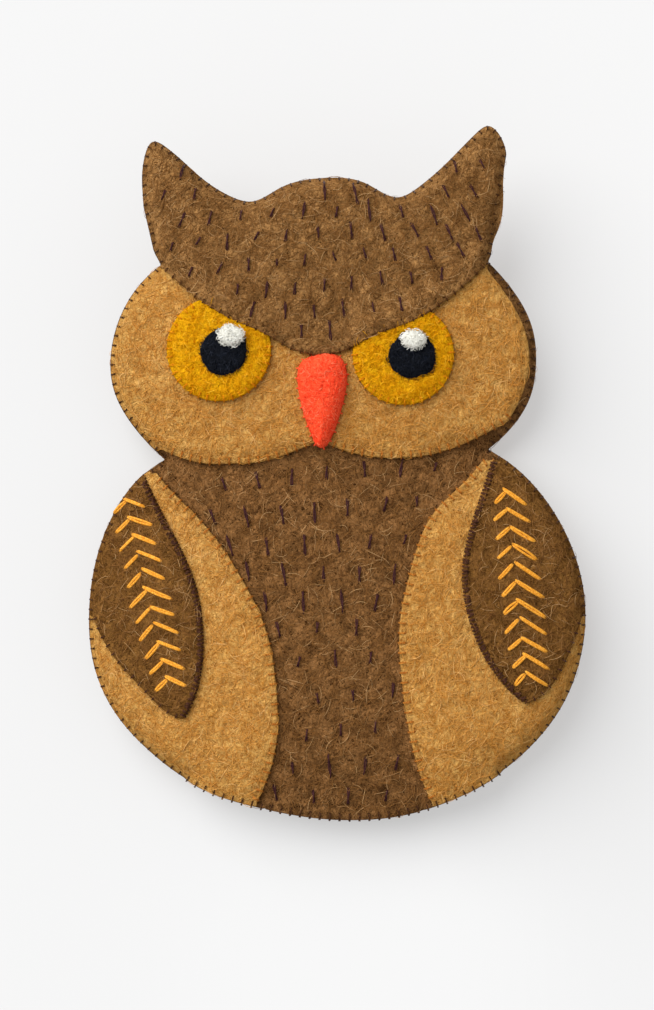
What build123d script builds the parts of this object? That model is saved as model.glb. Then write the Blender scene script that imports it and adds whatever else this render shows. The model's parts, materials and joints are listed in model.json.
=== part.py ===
"""A felt owl hand puppet: two felt panels sewn into a glove, with appliqued face, cap, wings,
eyes and a stuffed beak.

The puppet stands upright, faces -Y, and is centred on x = 0 and y = 0 with its hem at z = 0.
"Left" is the viewer's left, at -X. Millimetres throughout.
"""

import os
from math import hypot, pi, radians, sin, sqrt, tan

from build123d import *

# ---- driving dimensions -------------------------------------------------------------------
FELT = 2.5                # thickness of every felt sheet
PLY_GAP = 0.1             # air between two layers of felt
DEPTH = 26.0              # back of the back panel to the front of the beak
BACK_Y = DEPTH / 2        # outside face of the back panel
LINING_Y = BACK_Y - FELT  # inside face of the back panel

SWELL_RADIUS = 330.0      # both halves of the front are parts of spheres of this radius
BELLY_Z = 50.0            # height of the fullest point of the belly
BELLY_DEPTH = 18.0        # pocket depth there
HEAD_Z = 184.0            # height of the fullest point of the head
HEAD_DEPTH = 12.7         # pocket depth there

NECK_Z = 130.0            # fold line between body and head
HEAD_NOD_BACK = 12.0      # degrees the head can tip backwards
WING_BACK = 8.0           # degrees a wing can swing backwards
FOLD_TOP_X = 52.5         # distance of a wing's fold line from the middle, at FOLD_TOP_Z
FOLD_TOP_Z = 133.0
FOLD_HEM_X = 28.0         # and at FOLD_HEM_Z
FOLD_HEM_Z = 3.0
FLAP_Z = 50.0             # fold line of the flap at the back of the hand opening
WING_TOP_Z = 128.3        # the wings stop just below the chin
FOLD_GAP = 0.15           # air at the front of each fold line

OPENING_HALF = 58.0       # half width of the hand opening in the hem
OPENING_TOP_Z = 22.0      # the side seams start above this height
HEAD_SEAM_Z = 136.0       # the head's seam stitches are above this height, the wings' below WING_SEAM_Z
WING_SEAM_Z = 126.0
HEM_SEAM_Z = 60.0         # the hem's stitches stay below this height
SEAM = 2.5                # width of the sewn edge that joins front and back

APPLIQUE_INSET = 1.0      # the appliques stop this far inside the outline
THREAD = 0.8              # thread thickness
STITCH_PITCH = 3.6        # distance between blanket stitches
STITCH_LENGTH = 3.2       # how far a blanket stitch reaches in from the edge
FRONT_CLEAR = 3.0         # stitches stay this far from a wing's fold line at the front
BACK_CLEAR = 5.0          # and at the back, where a wing swinging backwards closes the gap
SEED_LENGTH = 4.6         # length of the loose stitches scattered over the cap
SEED_ROWS = 8             # rows of them on the cap
SEED_FIRST_ROW_Z = 178.0
SEED_ROW_PITCH = 8.2
SEED_PITCH = 11.0
SEED_FAN = -0.0075        # how much more a stitch leans for each millimetre from the middle
SEED_BROW_CLEAR = 5.5     # they stay this far above the brow
SEED_EDGE_CLEAR = 4.5     # and inside the outline
CHEST_SEED_LENGTH = 5.2   # and over the chest
CHEST_SEED_ROWS = 11
CHEST_SEED_ROW_PITCH = 11.4
CHEST_SEED_PITCH = 13.0
CHEST_SEED_FIRST_ROW_Z = 11.0
CHEST_SEED_FAN = 0.008
CHEST_SEED_CLEAR = 3.5    # they stay this far from the wings
CHEVRON_RUNGS = 11
CHEVRON_WIDTH = 0.9
CHEVRONS_LEFT = ((-74.6, 119.0), (-61.6, 54.5))     # points of the first and last chevron
CHEVRONS_RIGHT = ((62.4, 117.0), (67.4, 51.0))
CHEVRON_ARMS_LEFT = [(-5.6, -5.9), (8.0, -3.4)]     # where the arms reach to from the point
CHEVRON_ARMS_RIGHT = [(-5.4, -4.6), (9.0, -6.0)]

IRIS_LEFT = (-39.0, 172.0, 18.9)    # centre x, centre z, radius
IRIS_RIGHT = (27.3, 167.5, 18.3)
PUPIL_LEFT = (-36.8, 171.2, 8.8)
PUPIL_RIGHT = (30.2, 167.0, 8.6)
PUPIL_RISE = 3.4
HIGHLIGHT_LEFT = (-34.4, 176.4, 4.3, 3.2)   # centre x, centre z, half width, half height
HIGHLIGHT_RIGHT = (31.2, 172.4, 4.1, 2.8)
HIGHLIGHT_RISE = 4.2
BEAK_CENTRE = (-2.0, 156.0)         # x and z of the beak's fullest point
BEAK_ROUND_ACROSS = 12.5            # radius of its front from side to side
BEAK_ROUND_ALONG = 35.0             # and from top to tip
BEAK_SKIN = 2.0

FAR = 400.0               # larger than the puppet in every direction
INSET_STEP = 5.0          # spacing of the points that redraw an inset edge

# ---- outlines, as runs of (x, z) points; consecutive runs meet at a corner ----------------
OUTLINE = [
    [(-59.2, 204.0), (-63.5, 215.0), (-65.0, 231.0), (-63.9, 243.0), (-60.3, 249.0), (-55.5, 246.6),
     (-43.5, 235.3), (-33.0, 228.0), (-25.5, 225.8), (-15.0, 230.3), (1.5, 233.4), (16.5, 230.8),
     (28.0, 225.3), (36.0, 229.0), (46.0, 237.0), (57.0, 247.3), (61.8, 250.0), (66.1, 246.0),
     (67.5, 230.5), (65.3, 215.0), (59.8, 200.5)],
    [(59.8, 200.5), (68.5, 189.8), (75.1, 175.5), (75.9, 163.0), (73.2, 150.5), (66.9, 140.8),
     (57.2, 132.3)],
    [(57.2, 132.3), (68.0, 124.3), (81.2, 107.0), (88.7, 87.5), (90.4, 73.0), (87.6, 54.0), (80.6, 38.0),
     (69.0, 24.0), (55.0, 13.3), (37.0, 5.2), (18.7, 0.7), (5.0, 0.0), (-8.0, 0.9), (-28.5, 5.2),
     (-55.0, 15.2), (-69.5, 26.5), (-81.5, 40.5), (-89.0, 58.0), (-90.4, 77.0), (-86.9, 98.0),
     (-79.5, 115.0), (-70.5, 126.5), (-60.5, 133.0)],
    [(-60.5, 133.0), (-72.5, 147.0), (-78.4, 160.0), (-78.2, 175.5), (-71.3, 192.0), (-59.2, 204.0)],
]
BROW = [(-76.0, 219.0), (-59.3, 203.3), (-47.0, 191.4), (-33.0, 181.8), (-21.5, 176.3), (-12.5, 170.8),
        (-1.0, 168.2), (7.0, 169.8), (16.0, 174.0), (29.0, 178.4), (41.0, 184.6), (50.5, 191.8),
        (60.0, 200.2), (76.0, 215.0)]
FACE_RIGHT = [(58.2, 198.6), (65.8, 187.6), (71.9, 175.0), (73.2, 163.5), (70.0, 151.5), (64.5, 142.0)]
CHIN_RIGHT = [(64.5, 142.0), (55.5, 137.6), (43.0, 132.7), (30.0, 130.3), (17.0, 130.7),
              (6.0, 133.2), (-3.5, 137.6)]
CHIN_LEFT = [(-3.5, 137.6), (-13.0, 134.2), (-24.0, 131.0), (-35.0, 130.3), (-46.0, 131.0),
             (-58.5, 135.2), (-80.0, 148.0)]
BEAK = [
    [(-5.2, 168.0), (0.2, 169.0), (5.0, 166.8), (6.8, 160.8), (5.2, 151.5), (2.0, 141.8), (-1.2, 135.9)],
    [(-1.2, 135.9), (-3.6, 134.9), (-5.8, 136.6)],
    [(-5.8, 136.6), (-9.2, 146.8), (-11.0, 157.0), (-9.8, 165.6), (-5.2, 168.0)],
]
WING_LEFT_INNER = [(-66.0, 132.0), (-59.5, 123.0), (-47.6, 110.0), (-34.4, 90.0), (-25.7, 70.0),
                   (-22.9, 50.0), (-23.5, 30.0), (-30.5, 10.0), (-36.0, 0.0)]
WING_RIGHT_INNER = [(56.0, 130.0), (47.0, 120.0), (36.2, 110.0), (27.0, 90.0), (22.2, 70.0),
                    (22.2, 50.0), (24.4, 30.0), (29.6, 10.0), (34.5, 0.0)]
COVERT_LEFT_INNER = [(-69.5, 131.0), (-60.4, 110.0), (-51.7, 90.0), (-48.8, 70.0), (-51.6, 50.0),
                     (-56.8, 39.4)]
COVERT_LEFT_LOWER = [(-56.8, 39.4), (-61.8, 41.5), (-70.1, 49.6), (-80.5, 61.5), (-85.6, 70.0),
                     (-91.0, 90.0)]
COVERT_RIGHT_INNER = [(58.6, 129.0), (51.6, 110.0), (46.0, 90.0), (47.9, 70.0), (57.2, 50.0),
                      (66.8, 40.2)]
COVERT_RIGHT_LOWER = [(66.8, 40.2), (73.4, 43.4), (81.6, 54.5), (87.0, 66.0), (92.5, 86.0)]


# ---- shapes -------------------------------------------------------------------------------
def run_edge(points):
    """One smooth edge through (x, z) points, straight when there are only two."""
    places = [Vector(x, 0, z) for x, z in points]
    if len(places) == 2:
        return Edge.make_line(places[0], places[1])
    return Edge.make_spline(places)


def closed_wire(runs):
    """The closed wire of several runs. A straight run closes any gap to the first point."""
    edges = [run_edge(run) for run in runs]
    if runs[-1][-1] != runs[0][0]:
        edges.append(run_edge([runs[-1][-1], runs[0][0]]))
    return Wire(edges)


def prism(wire):
    """Everything inside a closed wire, right through the puppet from front to back."""
    return Solid.extrude(Face(wire).translate(Vector(0, -FAR / 2, 0)), Vector(0, FAR, 0))


def inset(wire, distance):
    """The wire moved inwards, redrawn as plain splines."""
    redrawn = []
    for edge in wire.offset_2d(-distance, kind=Kind.ARC).edges():
        steps = max(4, round(edge.length / INSET_STEP))
        redrawn.append(Edge.make_spline([edge.position_at(step / steps) for step in range(steps + 1)]))
    return Wire(redrawn)


def outline_inset(distance):
    return inset(closed_wire(OUTLINE), distance)


def swell(layer_depth, top_z):
    """The ball whose front is the surface layer_depth in front of the back panel, fullest at top_z."""
    centre = (0, LINING_Y - layer_depth + SWELL_RADIUS, top_z)
    return Solid.make_sphere(SWELL_RADIUS, angle1=-90, angle2=90).moved(Location(centre))


def belly(layers):
    """The belly's surface on top of this many felt layers."""
    return swell(BELLY_DEPTH + layers * (FELT + PLY_GAP), BELLY_Z)


def head(layers):
    """The head's surface on top of this many felt layers."""
    return swell(HEAD_DEPTH + layers * (FELT + PLY_GAP), HEAD_Z)


def surface_y(x, z, layers, on_head):
    """The y of a point on the belly's or the head's surface."""
    depth, top_z = (HEAD_DEPTH, HEAD_Z) if on_head else (BELLY_DEPTH, BELLY_Z)
    front = LINING_Y - depth - layers * (FELT + PLY_GAP)
    return front + SWELL_RADIUS - sqrt(SWELL_RADIUS**2 - x**2 - (z - top_z) ** 2)


def layer(wire, surface, number):
    """A felt piece of the wire's shape, lying as the given layer on the belly or the head."""
    under = surface(number - 1)
    under = under.moved(Location((0, -PLY_GAP, 0)))
    return prism(wire) & surface(number) - under


def half_space(origin, normal):
    """Everything on the side of a plane that its normal points to."""
    block = Box(2 * FAR, 2 * FAR, FAR, align=(Align.CENTER, Align.CENTER, Align.MIN))
    return Plane(origin=origin, z_dir=normal).location * block


# ---- fold lines ---------------------------------------------------------------------------
def fold_frame(side):
    """A point on a wing's fold line, its direction, and the level direction away from the body.
    side is -1 for the left wing and 1 for the right one."""
    run = Vector(side * (FOLD_TOP_X - FOLD_HEM_X), 0, FOLD_TOP_Z - FOLD_HEM_Z).normalized()
    outward = Vector(side * run.Z, 0, -side * run.X)
    foot = Vector(side * FOLD_HEM_X, 0, FOLD_HEM_Z)
    fullest = foot + run * (Vector(0, 0, BELLY_Z) - foot).dot(run)
    fold_y = surface_y(fullest.X, fullest.Z, 2, on_head=False) - FOLD_GAP
    return Vector(foot.X, fold_y, foot.Z), run, outward


NECK_FOLD_Y = surface_y(0, NECK_Z, 2, on_head=True) - FOLD_GAP


def head_region():
    """Above the neck fold, leaving the wedge that the head needs to tip backwards."""
    lean = tan(radians(HEAD_NOD_BACK + 0.4))
    return half_space((0, NECK_FOLD_Y, NECK_Z), (0, -lean, 1))


def wing_region(side):
    """Outside a wing's fold line, leaving the wedge that the wing needs to swing backwards."""
    origin, _, outward = fold_frame(side)
    lean = tan(radians(WING_BACK + 0.4))
    below_chin = half_space((0, 0, WING_TOP_Z), (0, 0, -1))
    return half_space(origin, outward + Vector(0, -lean, 0)) & below_chin


def body_region():
    """Below the neck fold and between the two wing folds."""
    region = half_space((0, 0, NECK_Z - FOLD_GAP), (0, 0, -1))
    for side in (-1, 1):
        origin, _, outward = fold_frame(side)
        region = region & half_space(origin - outward * FOLD_GAP, -outward)
    return region


# ---- the two panels that make the glove ---------------------------------------------------
def back_panel():
    sheet = prism(closed_wire(OUTLINE))
    return sheet & Box(FAR, FELT, 2 * FAR).moved(Location((0, BACK_Y - FELT / 2, 0)))


def front_panel(surface):
    """The front sheet with its sewn edge, hollow behind and open at the hem."""
    filled = prism(closed_wire(OUTLINE)) & surface(1)
    filled = filled & half_space((0, LINING_Y - PLY_GAP, 0), (0, -1, 0))
    mouth = Box(2 * OPENING_HALF, FAR, 2 * OPENING_TOP_Z)
    pocket = prism(outline_inset(SEAM)) + mouth
    return filled - (pocket & surface(0))


# ---- threads ------------------------------------------------------------------------------
def bar(start, end, width=THREAD):
    """A straight stitch between two points, half sunk into the felt."""
    run = end - start
    across = Vector(0, -1, 0)
    middle = (start + end) / 2
    place = Plane(origin=middle, x_dir=run, z_dir=run.cross(across.cross(run)))
    return place.location * Box(run.length, width, width)


def edge_stitches(wire, inward, height, keep, pitch=STITCH_PITCH, length=STITCH_LENGTH, start=0.4):
    """Stitches square to an edge, reaching in from it. inward is 1 or -1 for the side that the felt is on,
    height gives the felt's surface at (x, z), and keep says where the edge is sewn."""
    count = round(wire.length / pitch)
    stitches = []
    for number in range(count):
        share = (number + 0.5) / count
        place = wire.position_at(share)
        along = wire.tangent_at(share)
        if not keep(place.X, place.Z):
            continue
        into = Vector(-along.Z, 0, along.X) * inward
        outer = place + into * start
        inner = place + into * (start + length)
        stitches.append(
            bar(
                Vector(outer.X, height(outer.X, outer.Z), outer.Z),
                Vector(inner.X, height(inner.X, inner.Z), inner.Z),
            )
        )
    return stitches


def between(points, level, key=1, value=0):
    """Straight-line reading of a run of (x, z) points: the x at a height, or with key 0 and value 1
    the z at an x."""
    for first, second in zip(points, points[1:]):
        low, high = sorted((first, second), key=lambda point: point[key])
        if low[key] <= level <= high[key]:
            share = (level - low[key]) / (high[key] - low[key])
            return low[value] + share * (high[value] - low[value])
    return None


def brow_z(x):
    return between(BROW, x, key=0, value=1)


def fold_distance(x, z, side):
    """How far a point lies outside a wing's fold line."""
    origin, _, outward = fold_frame(side)
    return (Vector(x, 0, z) - Vector(origin.X, 0, origin.Z)).dot(outward)


def inside(wire, x, z, margin):
    """Whether the point and four points at the margin round it are all inside the wire."""
    corners = [wire.position_at(number / 400) for number in range(400)]
    for reach_x, reach_z in ((0, 0), (margin, 0), (-margin, 0), (0, margin), (0, -margin)):
        px, pz = x + reach_x, z + reach_z
        crossings = 0
        for a, b in zip(corners, corners[1:] + corners[:1]):
            if (a.Z > pz) != (b.Z > pz) and px < a.X + (pz - a.Z) / (b.Z - a.Z) * (b.X - a.X):
                crossings += 1
        if crossings % 2 == 0:
            return False
    return True


def jitter(number, reach):
    """A small offset that differs from stitch to stitch and is the same in every build."""
    return reach * sin(12.9898 * number + 4.1)


def seed_stitches(rows, row_pitch, stitch_pitch, length, fan, height, keep):
    """Short upright stitches in staggered rows. fan is how much each one leans out per millimetre
    from the middle."""
    stitches = []
    number = 0
    for row, z in enumerate(rows):
        for column in range(-8, 9):
            number += 1
            x = (column + 0.5 * (row % 2)) * stitch_pitch + jitter(number, 1.8)
            at_z = z + jitter(number + 50, 0.2 * row_pitch)
            if not keep(x, at_z):
                continue
            lean = fan * x
            reach = length * (1 + jitter(number + 90, 0.2)) / 2 / hypot(1, lean)
            low_x, low_z = x - lean * reach, at_z - reach
            high_x, high_z = x + lean * reach, at_z + reach
            low = Vector(low_x, height(low_x, low_z), low_z)
            high = Vector(high_x, height(high_x, high_z), high_z)
            stitches.append(bar(low, high))
    return stitches


# ---- surfaces that the threads lie on -----------------------------------------------------
def on_head(layers):
    return lambda x, z: surface_y(x, z, layers, on_head=True)


def on_belly(layers):
    return lambda x, z: surface_y(x, z, layers, on_head=False)


def on_back(x, z):
    return BACK_Y - THREAD / 2


# ---- the felt pieces ----------------------------------------------------------------------
def face_wire():
    return closed_wire([FACE_RIGHT, CHIN_RIGHT, CHIN_LEFT, [(-80.0, 148.0), (-90.0, 230.0)],
                        [(-90.0, 230.0), (58.2, 230.0)]])


def cap_wire():
    return closed_wire([BROW, [(76.0, 215.0), (76.0, 260.0)], [(76.0, 260.0), (-76.0, 260.0)]])


def wing_wire(side):
    inner = WING_LEFT_INNER if side < 0 else WING_RIGHT_INNER
    edge = side * 100.0
    return closed_wire([inner, [inner[-1], (edge, -5.0)], [(edge, -5.0), (edge, inner[0][1])]])


def covert_edges(side):
    if side < 0:
        return COVERT_LEFT_INNER, COVERT_LEFT_LOWER
    return COVERT_RIGHT_INNER, COVERT_RIGHT_LOWER


def covert_wire(side):
    inner, lower = covert_edges(side)
    edge = side * 100.0
    return closed_wire([inner, lower, [lower[-1], (edge, lower[-1][1])],
                        [(edge, lower[-1][1]), (edge, inner[0][1])]])


def circle_wire(x, z, radius):
    return Wire.make_circle(radius, Plane(origin=(x, 0, z), x_dir=(1, 0, 0), z_dir=(0, -1, 0)))


def applique_limit():
    return prism(outline_inset(APPLIQUE_INSET))


def head_cap():
    return layer(outline_inset(APPLIQUE_INSET), head, 2) & prism(cap_wire())


def below_cap():
    """Takes away the cap's place, with a hair of air along the brow."""
    return prism(cap_wire()).moved(Location((0, 0, -2 * PLY_GAP)))


def face_panel():
    return (layer(face_wire(), head, 2) & applique_limit() & head_region()) - below_cap()


def iris(circle):
    return layer(circle_wire(*circle), head, 3) - below_cap()


def highlight_prism(x, z, half_width, half_height, grow=0.0):
    column = Solid.make_cylinder(half_height + grow, FAR, Plane(origin=(0, 0, 0), z_dir=(0, -1, 0)))
    wide = column.moved(Location((0, FAR / 2, 0)))
    shift = half_width - half_height
    left = wide.moved(Location((x - shift, 0, z)))
    right = wide.moved(Location((x + shift, 0, z)))
    bridge = Box(2 * shift, FAR, 2 * (half_height + grow)).moved(Location((x, 0, z)))
    return left + bridge + right


def dome(place, radius, rise, base_layers):
    """A round-topped lump on the head, cut to the given prism, its top at rise above the felt."""
    x, z, column = place
    top_y = surface_y(x, z, base_layers, on_head=True) - rise
    ball = Solid.make_sphere(radius, angle1=-90, angle2=90).moved(Location((x, top_y + radius, z)))
    under = head(base_layers).moved(Location((0, -PLY_GAP, 0)))
    return (column & ball) - under


def pupil(circle, highlight_place):
    x, z, radius = circle
    lump = dome((x, z, prism(circle_wire(x, z, radius))), 1.6 * radius, PUPIL_RISE, 3)
    return lump - highlight_prism(*highlight_place, grow=PLY_GAP)


def highlight(place):
    x, z, half_width, _ = place
    return dome((x, z, highlight_prism(*place)), 2.2 * half_width, HIGHLIGHT_RISE, 3)


def beak_body(skin):
    """The beak's volume inside a skin of the given thickness: rounded along its length and across it."""
    outline = closed_wire(BEAK)
    if skin:
        outline = inset(outline, skin)
    front = -DEPTH / 2 + skin
    x, z = BEAK_CENTRE
    along = BEAK_ROUND_ALONG - skin
    across = BEAK_ROUND_ACROSS - skin
    ball = Solid.make_sphere(along, angle1=-90, angle2=90).moved(Location((x, front + along, z)))
    barrel = Solid.make_cylinder(across, 2 * FAR).moved(Location((x, front + across, -FAR)))
    under = head(2).moved(Location((0, -PLY_GAP, 0)))
    return (prism(outline) & ball & barrel) - under


def beak_shell():
    return beak_body(0.0) - beak_body(BEAK_SKIN)


def beak_stuffing():
    return beak_body(BEAK_SKIN + PLY_GAP)


# ---- embroidery ---------------------------------------------------------------------------
def chevrons(side):
    """A ladder of V stitches down a covert, pointing up."""
    top, foot = CHEVRONS_LEFT if side < 0 else CHEVRONS_RIGHT
    arms = CHEVRON_ARMS_LEFT if side < 0 else CHEVRON_ARMS_RIGHT
    lift = on_belly(3)
    stitches = []
    for number in range(CHEVRON_RUNGS):
        share = number / (CHEVRON_RUNGS - 1)
        swell_size = 0.75 + 0.35 * sin(pi * (0.1 + 0.8 * share))
        apex_x = top[0] + share * (foot[0] - top[0])
        apex_z = top[1] + share * (foot[1] - top[1])
        for arm_x, arm_z in arms:
            reach_x, reach_z = arm_x * swell_size, arm_z * swell_size
            start_x = apex_x + 0.1 * reach_x
            start_z = apex_z + 0.1 * reach_z
            end_x, end_z = apex_x + reach_x, apex_z + reach_z
            start = Vector(start_x, lift(start_x, start_z), start_z)
            end = Vector(end_x, lift(end_x, end_z), end_z)
            stitches.append(bar(start, end, width=CHEVRON_WIDTH))
    return stitches


def cap_seeds():
    shape = closed_wire(OUTLINE)

    def keep(x, z):
        return inside(shape, x, z, SEED_EDGE_CLEAR) and z - brow_z(x) > SEED_BROW_CLEAR

    rows = [SEED_FIRST_ROW_Z + SEED_ROW_PITCH * row for row in range(SEED_ROWS)]
    return seed_stitches(rows, SEED_ROW_PITCH, SEED_PITCH, SEED_LENGTH, SEED_FAN, on_head(2), keep)


def chest_seeds():
    def keep(x, z):
        left, right = between(WING_LEFT_INNER, z), between(WING_RIGHT_INNER, z)
        clear_of_folds = max(fold_distance(x, z, -1), fold_distance(x, z, 1)) < -FRONT_CLEAR
        return left + CHEST_SEED_CLEAR < x < right - CHEST_SEED_CLEAR and clear_of_folds

    rows = [CHEST_SEED_FIRST_ROW_Z + CHEST_SEED_ROW_PITCH * row for row in range(CHEST_SEED_ROWS)]
    return seed_stitches(rows, CHEST_SEED_ROW_PITCH, CHEST_SEED_PITCH, CHEST_SEED_LENGTH,
                         CHEST_SEED_FAN, on_belly(1), keep)


# ---- seams --------------------------------------------------------------------------------
def head_seam():
    """Blanket stitches round the head, front and back."""
    def keep(x, z):
        return z > HEAD_SEAM_Z

    wire = closed_wire(OUTLINE)
    return edge_stitches(wire, -1, on_head(2), keep) + edge_stitches(wire, -1, on_back, keep)


def wing_seam(side):
    """Blanket stitches round a wing's outside edge, front and back."""
    covert_foot = (COVERT_LEFT_LOWER if side < 0 else COVERT_RIGHT_LOWER)[-2][1]

    def height(x, z):
        return surface_y(x, z, 3 if z > covert_foot + 6 else 2, on_head=False)

    def keep_front(x, z):
        return z < WING_SEAM_Z and fold_distance(x, z, side) > FRONT_CLEAR

    def keep_back(x, z):
        return z < WING_SEAM_Z and fold_distance(x, z, side) > BACK_CLEAR

    wire = closed_wire(OUTLINE)
    return edge_stitches(wire, -1, height, keep_front) + edge_stitches(wire, -1, on_back, keep_back)


def hem_seam(height):
    """Blanket stitches along one lip of the hand opening, between the wing folds."""
    def keep(x, z):
        return z < HEM_SEAM_Z and max(fold_distance(x, z, -1), fold_distance(x, z, 1)) < -2.0

    return edge_stitches(closed_wire(OUTLINE), -1, height, keep)


def chin_stitches():
    def keep(x, z):
        return -60.0 < x < 61.0

    wire = Wire([run_edge(CHIN_RIGHT), run_edge(CHIN_LEFT)])
    return edge_stitches(wire, -1, on_head(2), keep, length=2.6, start=0.5)


def brow_stitches():
    def keep(x, z):
        return -60.0 < x < 58.0

    return edge_stitches(Wire([run_edge(BROW)]), 1, on_head(2), keep, pitch=5.0, length=1.8, start=0.5)


def iris_stitches(circle):
    def keep(x, z):
        return z < brow_z(x) - 2.0

    return edge_stitches(circle_wire(*circle), 1, on_head(3), keep, pitch=3.2, length=2.2, start=0.3)


def beak_stitches():
    def keep(x, z):
        return True

    return edge_stitches(closed_wire(BEAK), -1, on_head(2), keep, pitch=4.0, length=1.2, start=-1.5)


def split_at_fold(stitches, side):
    """The stitches clear of a wing's fold line, on the body's side of it and on the wing's."""
    on_body = []
    on_wing = []
    for stitch in stitches:
        centre = stitch.center()
        distance = fold_distance(centre.X, centre.Z, side)
        if distance < -FRONT_CLEAR / 2:
            on_body.append(stitch)
        elif distance > FRONT_CLEAR / 2:
            on_wing.append(stitch)
    return on_body, on_wing


def wing_inner_stitches(side):
    inner = WING_LEFT_INNER if side < 0 else WING_RIGHT_INNER
    shape = closed_wire(OUTLINE)

    def on_felt(x, z):
        return z < WING_TOP_Z - 3.0 and inside(shape, x, z, 2.5)

    return edge_stitches(Wire([run_edge(inner)]), side, on_belly(2), on_felt, length=2.4)


def covert_stitches(side):
    inner, lower = covert_edges(side)
    shape = closed_wire(OUTLINE)

    def keep(x, z):
        return z < WING_TOP_Z - 3.0 and inside(shape, x, z, 2.5)

    wire = Wire([run_edge(inner), run_edge(lower)])
    return edge_stitches(wire, side, on_belly(3), keep, length=2.0, start=0.3)


# ---- the puppet ---------------------------------------------------------------------------
def flap_region():
    return half_space((0, 0, FLAP_Z - FOLD_GAP), (0, 0, -1))


def above_flap():
    return half_space((0, 0, FLAP_Z), (0, 0, 1))


def nodes():
    """Every node of the puppet by name."""
    body = body_region()
    skull = head_region()
    back = back_panel()
    belly_front = front_panel(belly)
    made = {
        "back_panel_middle": back & body & above_flap(),
        "back_panel_flap": back & body & flap_region(),
        "back_panel_head": back & skull,
        "front_panel_middle": belly_front & body,
        "front_panel_head": front_panel(head) & skull,
        "face_panel": face_panel(),
        "head_cap": head_cap(),
        "iris_left": iris(IRIS_LEFT),
        "iris_right": iris(IRIS_RIGHT),
        "pupil_left": pupil(PUPIL_LEFT, HIGHLIGHT_LEFT),
        "pupil_right": pupil(PUPIL_RIGHT, HIGHLIGHT_RIGHT),
        "highlight_left": highlight(HIGHLIGHT_LEFT),
        "highlight_right": highlight(HIGHLIGHT_RIGHT),
        "beak_shell": beak_shell(),
        "beak_stuffing": beak_stuffing(),
        "cap_seed_stitches": cap_seeds(),
        "chest_seed_stitches": chest_seeds(),
        "head_seam_stitches": head_seam(),
        "front_hem_stitches": hem_seam(on_belly(1)),
        "back_hem_stitches": hem_seam(on_back),
        "chin_stitches": chin_stitches(),
        "brow_stitches": brow_stitches(),
        "iris_stitches_left": iris_stitches(IRIS_LEFT),
        "iris_stitches_right": iris_stitches(IRIS_RIGHT),
        "beak_stitches": beak_stitches(),
    }
    for side, name in ((-1, "left"), (1, "right")):
        wing = wing_region(side)
        wing_felt = layer(wing_wire(side), belly, 2) & applique_limit()
        covert = layer(covert_wire(side), belly, 3) & applique_limit() & wing
        made["back_panel_wing_" + name] = back & wing
        made["front_panel_wing_" + name] = belly_front & wing
        made["wing_" + name + "_inner"] = wing_felt & body
        made["wing_" + name + "_outer"] = wing_felt & wing
        made["covert_" + name] = covert
        made["covert_stitches_" + name] = covert_stitches(side)
        made["chevron_stitches_" + name] = chevrons(side)
        on_body, on_wing = split_at_fold(wing_inner_stitches(side), side)
        made["wing_edge_stitches_" + name] = on_body
        made["wing_seam_stitches_" + name] = wing_seam(side) + on_wing
    return made


def solids_of(shape):
    """The solids of one piece or of a list of pieces."""
    pieces = shape if isinstance(shape, list) else [shape]
    return [solid for piece in pieces for solid in piece.solids()]


def write_parts():
    os.makedirs("parts", exist_ok=True)
    for name, shape in nodes().items():
        solids = solids_of(shape)
        node = Part(children=solids) if len(solids) > 1 else Part(solids[0].wrapped)
        node.label = name
        export_step(node, os.path.join("parts", name + ".step"))


if __name__ == "__main__":
    write_parts()
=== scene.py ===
"""Draws the felt owl hand puppet over its CAD frame.

Every felt piece is a soft sheet cut to the outline of its CAD node, padded over the glove's pocket,
pinched where it is sewn and laid over the pieces under it. Threads are laid on top of the felt.
Shapes are worked out in millimetres and turned into metres when a mesh is made.
"""

import json
import math

import bpy
import numpy as np
from mathutils import Matrix, Vector
from mathutils.geometry import delaunay_2d_cdt
from mathutils.kdtree import KDTree


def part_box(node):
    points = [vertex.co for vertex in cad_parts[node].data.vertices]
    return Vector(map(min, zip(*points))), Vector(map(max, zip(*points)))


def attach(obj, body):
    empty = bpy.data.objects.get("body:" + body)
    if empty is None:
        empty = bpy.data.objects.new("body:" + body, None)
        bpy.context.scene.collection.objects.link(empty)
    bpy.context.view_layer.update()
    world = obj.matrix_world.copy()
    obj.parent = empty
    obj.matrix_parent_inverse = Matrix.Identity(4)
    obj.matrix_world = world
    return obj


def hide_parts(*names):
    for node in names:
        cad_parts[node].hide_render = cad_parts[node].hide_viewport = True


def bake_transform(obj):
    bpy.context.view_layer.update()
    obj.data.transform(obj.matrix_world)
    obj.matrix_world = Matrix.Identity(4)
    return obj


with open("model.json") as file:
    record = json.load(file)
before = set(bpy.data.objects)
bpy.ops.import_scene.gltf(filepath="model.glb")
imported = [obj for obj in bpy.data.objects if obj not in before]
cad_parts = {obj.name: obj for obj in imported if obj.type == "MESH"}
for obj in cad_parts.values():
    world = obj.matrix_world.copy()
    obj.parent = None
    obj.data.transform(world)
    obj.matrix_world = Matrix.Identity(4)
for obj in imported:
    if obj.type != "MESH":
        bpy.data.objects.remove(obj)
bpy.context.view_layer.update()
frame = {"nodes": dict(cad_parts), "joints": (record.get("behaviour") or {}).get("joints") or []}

MM = 0.001
rng = np.random.default_rng(11)

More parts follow.
